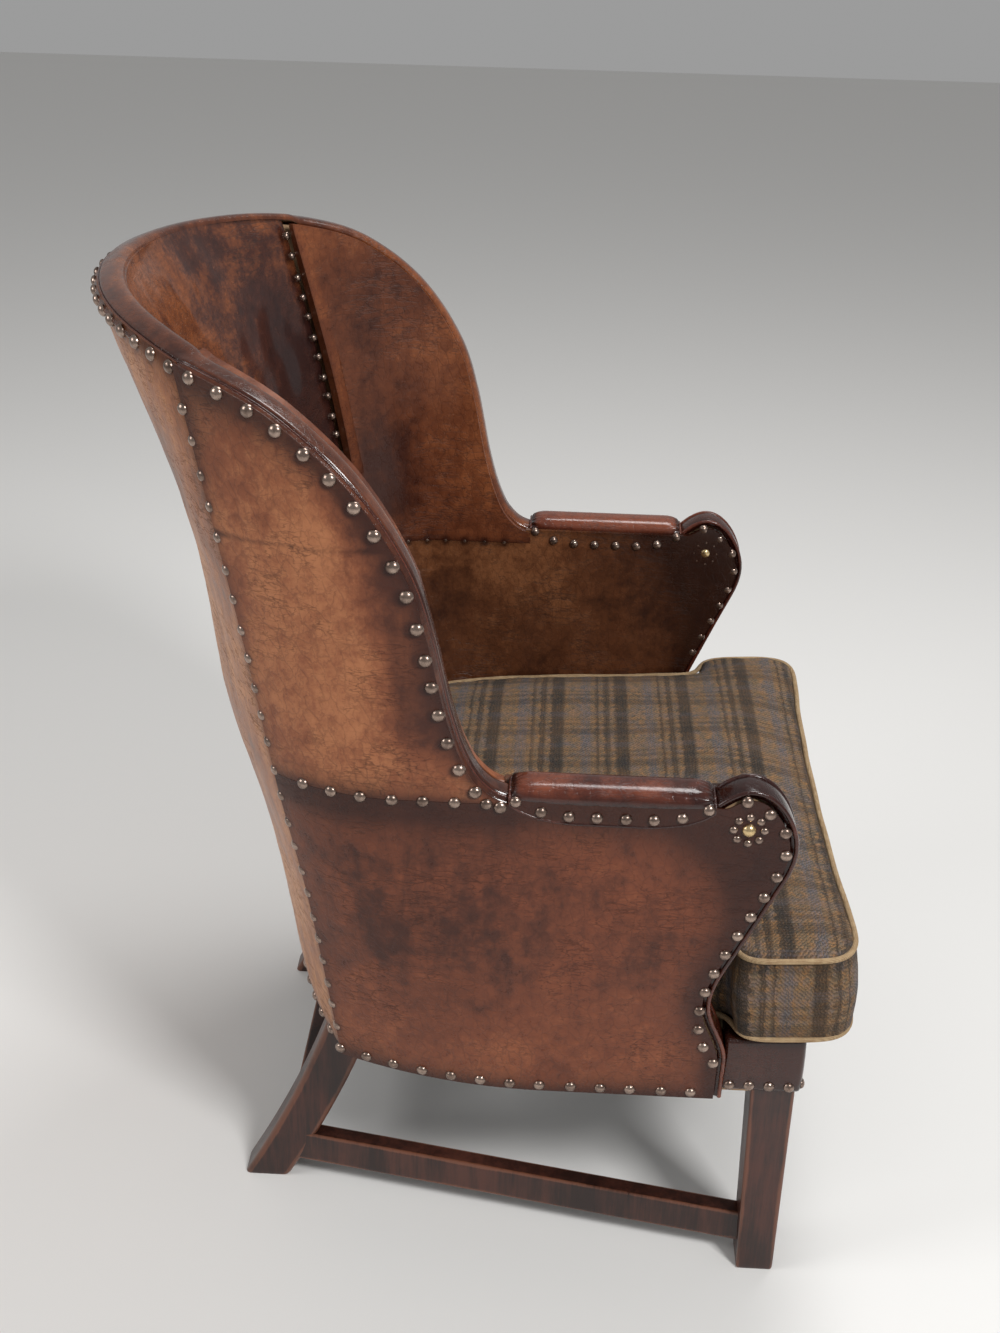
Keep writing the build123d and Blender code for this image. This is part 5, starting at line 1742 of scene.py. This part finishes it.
@dataclass(frozen=True)
class SeatFront:
    """Leather over the front rail and the tops of the front legs, in millimetres."""

    outer: float = 316.0
    inner: float = 261.0
    front: float = -5.0
    rear: float = 75.7
    bottom: float = 247.0
    seat: float = 316.0
    rounding: float = 5.5

    def _block(self, name: str, low: tuple[float, float], high: tuple[float, float], node: str,
               looks: Finishes, seed: int) -> None:
        """Make one soft-edged block of leather.

        Args:
            name: Name of the object.
            low: Its least x and y.
            high: Its greatest x and y.
            node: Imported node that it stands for.
            looks: The finishes.
            seed: Seed of its unevenness.
        """
        work = bmesh.new()
        bmesh.ops.create_cube(work, size=1.0)
        for vert in work.verts:
            x = low[0] if vert.co.x < 0 else high[0]
            y = low[1] if vert.co.y < 0 else high[1]
            top = self.seat - 0.6 - math.tan(SEAT_SLOPE) * y
            vert.co = Vector((x, y, self.bottom if vert.co.z < 0 else top))
        long = [e for e in work.edges if abs(e.verts[0].co.x - e.verts[1].co.x) > 100]
        if long:
            bmesh.ops.subdivide_edges(work, edges=long, cuts=11, use_grid_fill=True)
        sharp = [e for e in work.edges if e.calc_face_angle(0) > 0.5]
        bmesh.ops.bevel(work, geom=sharp, offset=self.rounding, segments=4, profile=0.5, affect="EDGES")
        bmesh.ops.subdivide_edges(work, edges=[e for e in work.edges if e.calc_length() > 9], cuts=5,
                                  use_grid_fill=True)
        work.normal_update()
        points = np.array([v.co[:] for v in work.verts])
        n = np.array([v.normal[:] for v in work.verts])
        middle = hill(points[:, 2], (self.bottom + self.seat) / 2, 26.0)
        points = points + n * (0.5 * wander(points, seed, 40.0) + 0.8 * middle - 0.4)[:, None]
        faces = [tuple(v.index for v in f.verts) for f in work.faces]
        work.free()
        made = make_object(name, points, faces)
        below, over = (np.exp(-np.abs(points[:, 2] - edge) / 10) for edge in (self.bottom, self.seat))
        set_attribute(made, "patina", 0.55 + 0.4 * below + 0.3 * over)
        set_attribute(made, "sun", np.full(len(points), 0.1))
        hand_in(made, "trim_leather", node, finish=looks.trim)

    def build(self, looks: Finishes) -> None:
        """Make the three blocks."""
        for side in Side:
            ends = sorted((side.value * self.outer, side.value * self.inner))
            self._block(f"leg_top_leather_{side.word}", (ends[0], self.front), (ends[1], self.rear),
                        f"leg_top_cover_{side.word}", looks, 81 + side.value)
        self._block("front_rail_leather", (-self.inner + 0.6, self.front), (self.inner - 0.6, self.rear),
                    "front_rail_cover", looks, 85)


# Wood


@dataclass(frozen=True)
class Underframe:
    """Legs and stretchers, in millimetres."""

    outer: float = 311.0
    top: float = 45.0
    foot: float = 39.0
    leg_top: float = 272.0
    leg_height: float = 235.0
    rear_wide: float = 38.0
    rear_deep: float = 50.0
    rear_top: tuple[float, float] = (212.0, 485.0)
    rear_foot: tuple[float, float] = (207.0, 587.0)
    knee: float = 7.0
    arris: float = 2.6
    rear_arris: float = 5.5
    rail_arris: float = 2.0
    thick: float = 20.0
    low: float = 26.0
    tall: float = 38.0
    inset: float = 11.0
    back_low: float = 92.0
    back_tall: float = 34.0

    def _bar(self, name: str, centres: Array, wide: Array, deep: Array, across: Array,
             up: Array, rounding: float, node: str, finish: Material) -> None:
        """Make one bar of timber with eased arrises.

        Args:
            name: Name of the object.
            centres: Centres of its sections.
            wide: Its width at each section.
            deep: Its depth at each section.
            across: Direction of the width.
            up: Direction of the depth.
            rounding: Radius of the arrises.
            node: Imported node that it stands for.
            finish: Its material.
        """
        turns = np.radians(90 * np.arange(4)[:, None] + np.linspace(0, 90, 5))
        rounds = rounding * np.stack([np.cos(turns), np.sin(turns)], axis=-1)
        signs = np.array([(1, 1), (-1, 1), (-1, -1), (1, -1)])[:, None]
        shares = np.array([0.12, 0.3, 0.5, 0.7, 0.88])[:, None]
        rings = []
        for centre, size in zip(centres, np.column_stack([wide, deep])):
            arcs = (size / 2 - rounding) * signs + rounds
            last, following = arcs[:, -1:], np.roll(arcs, -1, axis=0)[:, :1]
            section = np.concatenate([arcs, last + (following - last) * shares], axis=1).reshape(-1, 2)
            rings.append(centre + section @ np.stack([across, up]))
        grid = np.array(rings)
        made = make_object(name, grid.reshape(-1, 3), tube_faces(*grid.shape[:2]), 0.9)
        outward(made)
        edge = np.tile([1.0] * 5 + [0.0] * 5, (len(grid), 4))
        edge[:2] = np.maximum(edge[:2], 0.8)
        set_attribute(made, "edge", edge)
        hand_in(made, "polished_wood", node, finish=finish)

    def rear_corner(self, level: Array) -> Array:
        """Outer back corner of a rear leg at shares of its height."""
        x, y = (foot + (top - foot) * level for foot, top in zip(self.rear_foot, self.rear_top))
        return np.stack([x, y - self.knee * 4 * level * (1 - level)], axis=-1)

    def build(self, looks: Finishes) -> None:
        """Make all the wood that shows."""
        across, up = np.array([1.0, 0, 0]), np.array([0, 1.0, 0])
        ease = np.array([0.0, 0.004, 0.012, 0.03])
        levels = np.concatenate([ease, np.linspace(0.06, 1, 24)])
        shrink = np.concatenate([[-2.4, -0.9, -0.2, 0.0], np.zeros(24)])
        for side in Side:
            size = self.foot + (self.top - self.foot) * levels
            z = self.leg_top * levels
            centres = np.stack([side.value * (self.outer - size / 2), size / 2, z], axis=1)
            self._bar(f"front_leg_wood_{side.word}", centres, size + shrink, size + shrink, across, up,
                      self.arris, f"front_leg_{side.word}", looks.mahogany)
            rise = levels * self.leg_top / self.leg_height
            corner = self.rear_corner(rise)
            z = self.leg_height * rise
            centres = np.stack([side.value * (corner[:, 0] - self.rear_wide / 2),
                                corner[:, 1] - self.rear_deep / 2, z], axis=1)
            self._bar(f"rear_leg_wood_{side.word}", centres, self.rear_wide + shrink, self.rear_deep + shrink,
                      across, up, self.rear_arris, f"rear_leg_{side.word}", looks.mahogany)
            x, y = self.rear_corner(np.array(self.low / self.leg_height))
            start = np.array([side.value * (self.outer - self.inset - self.thick / 2), self.foot / 2, 0])
            end = np.array([side.value * (x - self.inset / 2 - self.thick / 2), y - self.rear_deep / 2, 0])
            self._rail(f"side_stretcher_wood_{side.word}", start, end, self.low, self.tall,
                       f"side_stretcher_{side.word}", looks.mahogany_level)
        x, y = self.rear_corner(np.array(self.back_low / self.leg_height))
        end = np.array([x - self.rear_wide / 2, y - self.rear_deep / 2, 0])
        self._rail("rear_stretcher_wood", end * (-1, 1, 1), end, self.back_low, self.back_tall,
                   "rear_stretcher", looks.mahogany_level)

    def _rail(self, name: str, start: Array, end: Array, low: float, tall: float, node: str,
              finish: Material) -> None:
        """Make one level rail.

        Args:
            name: Name of the object.
            start: One end in plan.
            end: Other end in plan.
            low: Height of its lower face.
            tall: Its height.
            node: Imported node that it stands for.
            finish: Its material.
        """
        shares = np.linspace(0, 1, 30)[:, None]
        centres = start + (end - start) * shares + (0, 0, low + tall / 2)
        up = np.array([0, 0, 1.0])
        across = np.cross(unit(end - start), up)
        same = np.ones(len(centres))
        self._bar(name, centres, self.thick * same, tall * same, across, up, self.rail_arris, node, finish)


# Seat


@dataclass(frozen=True)
class Seat:
    """Stuffed platform under the cushion, in millimetres."""

    front: float = 316.0
    low: float = 276.2
    start: float = 76.4
    crown: float = 5.0
    clear: float = 1.0
    eased: float = 40.0
    thick: float = 4.0

    def build(self, looks: Finishes) -> None:
        """Make the platform and dress the hidden pieces."""
        rows, columns = 60, 60
        reach = float(BODY.plan(self.low + 8, BODY.wall)[4])
        deep = np.linspace(self.start, reach - 2.5, rows)
        grid = []
        for y in deep:
            z = max(self.front - math.tan(SEAT_SLOPE) * y, self.low + 4)
            _, _, _, sy, back, _, centre = (float(v) for v in BODY.plan(z, BODY.wall + self.clear))
            y = min(y, back - self.clear)
            half = (math.sqrt(max((back - centre) ** 2 - (y - centre) ** 2, 1.0)) if y > sy
                    else float(BODY.at_depth(y, z, BODY.wall + self.clear)[0]))
            across = np.linspace(-half, half, columns)
            edge = np.minimum(half - np.abs(across), self.eased) / self.eased
            rise = self.crown * (np.sin(edge * math.pi / 2) - 1) - 0.5
            grid.append(np.stack([across, np.full(columns, y), z + rise], axis=1))
        grid = np.array(grid)[:, ::-1]
        if float(normals(grid)[..., 2].mean()) < 0:
            grid = grid[:, ::-1]
        made = shell("seat_platform_cloth", grid, self.thick, np.zeros(grid.shape[:2]), {})
        hand_in(made, "hessian", "seat_platform", fill=0.9, finish=looks.hessian)
        hidden = {"seat_webbing": looks.jute, "dust_cover": looks.black_cotton}
        timber = ("crest_rail", "back_post", "wing_rail", "arm_rail", "arm_post", "seat_rail")
        for name, node in frame["nodes"].items():
            if name in hidden or name.startswith(timber):
                node.data.materials.clear()
                node.data.materials.append(hidden.get(name, looks.beech))


@dataclass(frozen=True)
class Cushion:
    """Loose T-shaped seat cushion, in millimetres."""

    thick: float = 104.0
    crown: float = 13.0
    reach: float = 56.0
    ear: float = 330.0
    ear_back: float = 73.0
    corner: float = 34.0
    back_corner: float = 20.0
    notch: float = 14.0
    draw: float = 9.0
    clear: float = 3.0
    cord: float = 4.5
    cord_share: float = 0.64
    cord_in: float = 5.0
    cord_out: float = 1.6
    seat: float = 316.3
    voxel: float = 0.0058
    most: float = 15.0
    side_most: float = 7.0
    hold: float = 7.0
    dome: float = 55.0
    pucker: tuple[float, float, float] = (0.7, 0.9, 14.0)
    billow: tuple[float, float, float, float] = (1.3, 120.0, 50.0, 25.0)
    frames: int = 20
    cloth: tuple[tuple[str, object], ...] = (
        ("quality", 5), ("mass", 0.25), ("tension_stiffness", 18), ("compression_stiffness", 18),
        ("bending_stiffness", 2.5), ("use_pressure", True), ("uniform_pressure_force", 4.0),
        ("vertex_group_mass", "held"), ("pin_stiffness", 1.2))

    def outline(self, inset: float, count: int = 360) -> Array:
        """Closed outline of the cushion seen from above.

        Args:
            inset: How far it is moved in.
            count: Number of points.

        Returns:
            Points as (x, y) rows.
        """
        low = max(self.seat - BODY.depth * math.tan(SEAT_SLOPE), BODY.bottom) + 0.3 * self.thick
        width, turn, sx, sy, back, radius, centre = (
            float(v) for v in BODY.plan(low, BODY.wall + self.clear + inset))
        ear = self.ear - inset
        front = self.cord - self.reach - self.cord_in + inset
        rear = self.ear_back - inset

        def arc(cx: float, cy: float, r: float, start: float, end: float, points: int = 14) -> Array:
            """Points of an arc given in degrees."""
            a = np.radians(np.linspace(start, end, points))
            return np.stack([cx + r * np.cos(a), cy + r * np.sin(a)], axis=1)

        side_end = math.degrees(math.atan2(sy - turn, sx - width + radius))
        back_start = math.degrees(math.atan2(sy - centre, sx))
        half = [
            np.array([(0.0, front + self.draw), (ear * 0.5, front + self.draw * 0.72)]),
            arc(ear - self.corner, front + self.corner, self.corner, -90, 0),
            arc(ear - self.back_corner, rear - self.back_corner, self.back_corner, 0, 90),
            arc(width + self.notch, rear + self.notch, self.notch, -90, -180),
            arc(width - radius, turn, radius, 0, side_end, 30),
            arc(0.0, centre, back - centre, back_start, 90, 30),
        ]
        right = np.concatenate(half)
        whole = np.concatenate([right, right[-2:0:-1] * (-1, 1)])
        return resampled(np.concatenate([whole, whole[:1]]), count + 1)[:-1]

    def _tilted(self, points: Array) -> Array:
        """Points drawn level above zero, set down on the sloping seat."""
        y = points[:, 1] * math.cos(SEAT_SLOPE) + points[:, 2] * math.sin(SEAT_SLOPE)
        z = points[:, 2] * math.cos(SEAT_SLOPE) - points[:, 1] * math.sin(SEAT_SLOPE)
        return np.stack([points[:, 0], y, z + self.seat], axis=1)

    def _start(self) -> tuple[Thing, Array, Array]:
        """Closed starting shape, with its two seam lines."""
        work = bmesh.new()
        outer = self.outline(self.cord_in)
        rings = []
        levels = [(0.0, 22.0), (1.5, 8.0), (self.cord, 0.0), (self.thick * 0.3, -2.5),
                  (self.thick * 0.5, -3.5), (self.thick * 0.7, -2.5), (self.thick - self.cord, 0.0),
                  (self.thick + 1.5, 8.0)]
        for z, inset in levels:
            ring = self.outline(self.cord_in + inset + 1.0)
            rings.append([work.verts.new((p[0], p[1], z)) for p in ring])
        for a, b in zip(rings, rings[1:]):
            for i in range(len(a)):
                j = (i + 1) % len(a)
                work.faces.new((a[i], a[j], b[j], b[i]))
        work.faces.new(rings[-1])
        work.faces.new(list(reversed(rings[0])))
        bmesh.ops.triangulate(work, faces=[f for f in work.faces if len(f.verts) > 4])
        points = np.array([v.co[:] for v in work.verts])
        work.verts.index_update()
        faces = [tuple(v.index for v in f.verts) for f in work.faces]
        work.free()
        made = make_object("cushion_tweed", points + (0, BODY.mid_depth, 0), faces)
        outward(made)
        low = np.column_stack([outer, np.full(len(outer), self.cord)])
        high = np.column_stack([outer, np.full(len(outer), self.thick - self.cord)])
        return made, low, high

    def _remeshed(self, made: Thing) -> Array:
        """Remesh the starting shape evenly and return its points, in millimetres."""
        modifier = made.modifiers.new("even", "REMESH")
        modifier.mode = "VOXEL"
        modifier.voxel_size = self.voxel
        return coordinates(applied(made, modifier))

    def _swell(self, made: Thing, points: Array, seams: Array) -> Array:
        """Let the filling press the cloth out, its seams held.

        Args:
            made: The remeshed cushion, drawn level.
            points: Its points, in millimetres.
            seams: Distance of each point from the nearest seam.

        Returns:
            Where the points come to rest.
        """
        held = made.vertex_groups.new(name="held")
        for i in np.nonzero(seams < self.hold)[0]:
            held.add([int(i)], float(np.clip(1.2 - seams[i] / self.hold, 0.25, 1.0)), "REPLACE")
        bottom = np.nonzero(points[:, 2] < 1.0)[0]
        held.add([int(i) for i in bottom], 1.0, "REPLACE")
        modifier = made.modifiers.new("filling", "CLOTH")
        settings = modifier.settings
        for name, value in self.cloth:
            setattr(settings, name, value)
        settings.effector_weights.gravity = 0.0
        modifier.collision_settings.use_collision = False
        scene = bpy.context.scene
        scene.frame_start, scene.frame_end = 1, self.frames
        modifier.point_cache.frame_start, modifier.point_cache.frame_end = 1, self.frames
        for number in range(1, self.frames + 1):
            scene.frame_set(number)
        swollen = coordinates(made.evaluated_get(bpy.context.evaluated_depsgraph_get()).data)
        made.modifiers.remove(modifier)
        scene.frame_set(1)
        return swollen

    def build(self, maker: Maker, looks: Finishes) -> None:
        """Make the cushion and its two lines of piping."""
        made, low, high = self._start()
        points = self._remeshed(made)
        tree = search_tree(np.concatenate([low, high]))
        seams = np.array([tree.find(Vector(p))[2] for p in points])
        flat = self.outline(self.cord_in)
        edge = search_tree(np.column_stack([flat, np.zeros(len(flat))]))
        found = [edge.find(Vector((p[0], p[1], 0))) for p in points]
        away = np.array([f[2] for f in found])
        nearest = np.array([f[1] for f in found])
        top = points[:, 2] > self.thick - self.cord + 0.5
        side = (points[:, 2] > self.cord) & ~top & (away < 12)
        rise = np.where(top, (self.crown - 4) * (1 - np.exp(-away / self.dome)), 0.0)
        moved = points + np.column_stack([np.zeros((len(points), 2)), rise])
        mesh = made.data
        mesh.vertices.foreach_set("co", (moved * MM).ravel())
        mesh.update()
        swollen = self._swell(made, moved, seams)
        shift = swollen - moved
        length = np.linalg.norm(shift, axis=1)
        most = np.where(top, self.most, self.side_most)
        shift *= np.minimum(1.0, most / np.maximum(length, 1e-6))[:, None]
        shift[points[:, 2] < 3.0] = 0.0
        moved = moved + shift
        deep, rate, fade = self.pucker
        moved[:, 2] += np.where(top, np.exp(-seams / fade) * deep * np.sin(nearest * rate), 0.0)
        tall, broad, short, ease = self.billow
        soft = wander(moved, 91, broad) + 0.5 * wander(moved, 92, short)
        moved[:, 2] += np.where(top, tall * soft * (1 - np.exp(-away / ease)), 0.0)
        limit = float(BODY.plan(self.seat + 40, BODY.wall)[0]) - 1.2
        inside = moved[:, 1] > self.ear_back + 8
        moved[:, 0] = np.where(inside, np.clip(moved[:, 0], -limit, limit), moved[:, 0])
        along = run_along(flat)[nearest]
        weave = np.where(side[:, None], np.column_stack([along, points[:, 2], np.zeros(len(points))]),
                         np.column_stack([points[:, 1], points[:, 0], np.zeros(len(points))]))
        mesh.vertices.foreach_set("co", metres(self._tilted(moved)).ravel())
        layer = mesh.attributes.new("weave", "FLOAT_VECTOR", "POINT")
        layer.data.foreach_set("vector", (weave * MM).astype(np.float32).ravel())
        mesh.polygons.foreach_set("use_smooth", [True] * len(mesh.polygons))
        mesh.materials.clear()
        mesh.materials.append(looks.tweed)
        mesh.update()
        fine = made.modifiers.new("fine", "SUBSURF")
        fine.levels = fine.render_levels = 1
        applied(made, fine)
        hand_in(made, "tweed", "seat_cushion", body="cushion", fill=0.75)
        near = search_tree(points)
        for name, line, lift in (("top", high, 1.5), ("bottom", low, 0.0)):
            spots = np.array([moved[[i for _, i, _ in near.find_n(Vector(p), 4)]].mean(axis=0) for p in line])
            self._piping(name, line, spots, lift, maker, looks)

    def _piping(self, name: str, line: Array, spots: Array, lift: float, maker: Maker,
                looks: Finishes) -> None:
        """Run one line of piping round the cushion.

        Args:
            name: Which line it is.
            line: Its seam before the cushion was stuffed.
            spots: The seam on the stuffed cushion.
            lift: How far the cord stands above the seam.
            maker: The trees for the cord.
            looks: The finishes.
        """
        for _ in range(10):
            spots = (np.roll(spots, 1, axis=0) + 2 * spots + np.roll(spots, -1, axis=0)) / 4
        grown = spots[:, :2] - line[:, :2].mean(axis=0)
        along = line[:, :2] - np.roll(line[:, :2], 1, axis=0)
        out = unit(np.column_stack([along[:, 1], -along[:, 0]]))
        sign = 1.0 if float(np.mean(np.sum(out * grown, axis=1))) > 0 else -1.0
        spots[:, :2] += sign * out * self.cord_out
        spots[:, 2] = np.clip(spots[:, 2] + lift, self.cord + 0.3, None)
        cord = maker.welt(f"cushion_cord_{name}", [self._tilted(spots)], self.cord * self.cord_share,
                          looks.piping, True, 12)
        hand_in(cord, "piping", f"cushion_piping_{name}", body="cushion")


# Studio


@dataclass(frozen=True)
class Studio:
    """Floor, lights and camera, in metres."""

    place: Triple = (-1.6587, -0.0685, 1.3947)
    tilt: float = 26.857
    roll: float = 1.511
    yaw: float = -1.926
    lens: float = 45.91
    film: float = 36.0
    aim: float = 0.55
    floor: Triple = (0.80, 0.79, 0.77)

    def build(self) -> None:
        """Set the floor, the lights and the camera."""
        self._floor()
        self._lights()
        self._camera()

    def _floor(self) -> None:
        """Lay a plain pale floor."""
        mesh = bpy.data.meshes.new("studio_floor")
        mesh.from_pydata([(-9, -9, 0), (9, -9, 0), (9, 9, 0), (-9, 9, 0)], [], [(0, 1, 2, 3)])
        made = added("studio_floor", mesh)
        g = Paint("pale_floor")
        fine = g.noise(g.place(), 40.0, 4, 0.6)
        colour = g.mix(fine * 0.1, self.floor, (0.74, 0.73, 0.71))
        made.data.materials.append(g.dress(base_color=colour, roughness=0.75))

    def _lights(self) -> None:
        """Hang soft lights and set the world."""
        world = bpy.data.worlds.new("studio")
        bpy.context.scene.world = world
        world.use_nodes = True
        back = world.node_tree.nodes["Background"]
        back.inputs[0].default_value = (0.92, 0.92, 0.92, 1)
        back.inputs[1].default_value = 0.36
        for name, spot, size, power in (
                ("key", (-2.2, -1.6, 2.9), 0.7, 84.0), ("fill", (-1.0, 2.6, 2.0), 1.2, 26.0),
                ("top", (0.8, -0.6, 3.2), 1.1, 40.0)):
            lamp = bpy.data.lights.new(name, "AREA")
            lamp.size = size
            lamp.energy = power
            made = added(name, lamp)
            made.location = spot
            way = Vector((0, 0, self.aim)) - Vector(spot)
            made.rotation_euler = way.to_track_quat("-Z", "Y").to_euler()

    def _camera(self) -> None:
        """Stand the camera where the photograph was taken."""
        p, r, w = (math.radians(a) for a in (self.tilt, self.roll, self.yaw))
        ahead = Vector((math.cos(w) * math.cos(p), -math.sin(w) * math.cos(p), -math.sin(p)))
        right = ahead.cross(Vector((0, 0, 1))).normalized()
        above = right.cross(ahead)
        right, above = right * math.cos(r) + above * math.sin(r), above * math.cos(r) - right * math.sin(r)
        lens = bpy.data.cameras.new("photo_view")
        lens.sensor_fit = "VERTICAL"
        lens.sensor_height = self.film
        lens.lens = self.lens
        made = added("photo_view", lens)
        made.matrix_world = Matrix((
            (right.x, above.x, -ahead.x, self.place[0]), (right.y, above.y, -ahead.y, self.place[1]),
            (right.z, above.z, -ahead.z, self.place[2]), (0, 0, 0, 1)))
        bpy.context.scene.camera = made


def main() -> None:
    """Build the chair's pieces in order."""
    logging.basicConfig(level=logging.INFO, format="%(name)s %(message)s")
    bpy.context.scene.view_settings.view_transform = "Standard"
    looks = Finishes()
    maker = Maker()
    nails = Nails()
    Studio().build()
    Upholstery(looks, nails).build()
    RimRoll().build(maker, looks)
    for side in Side:
        ArmFront().build(side, maker, looks)
        ArmPad().build(side, maker, looks)
    SeatFront().build(looks)
    Underframe().build(looks)
    Seat().build(looks)
    Cushion().build(maker, looks)
    nails.build(maker, looks)


if __name__ == "__main__":
    main()
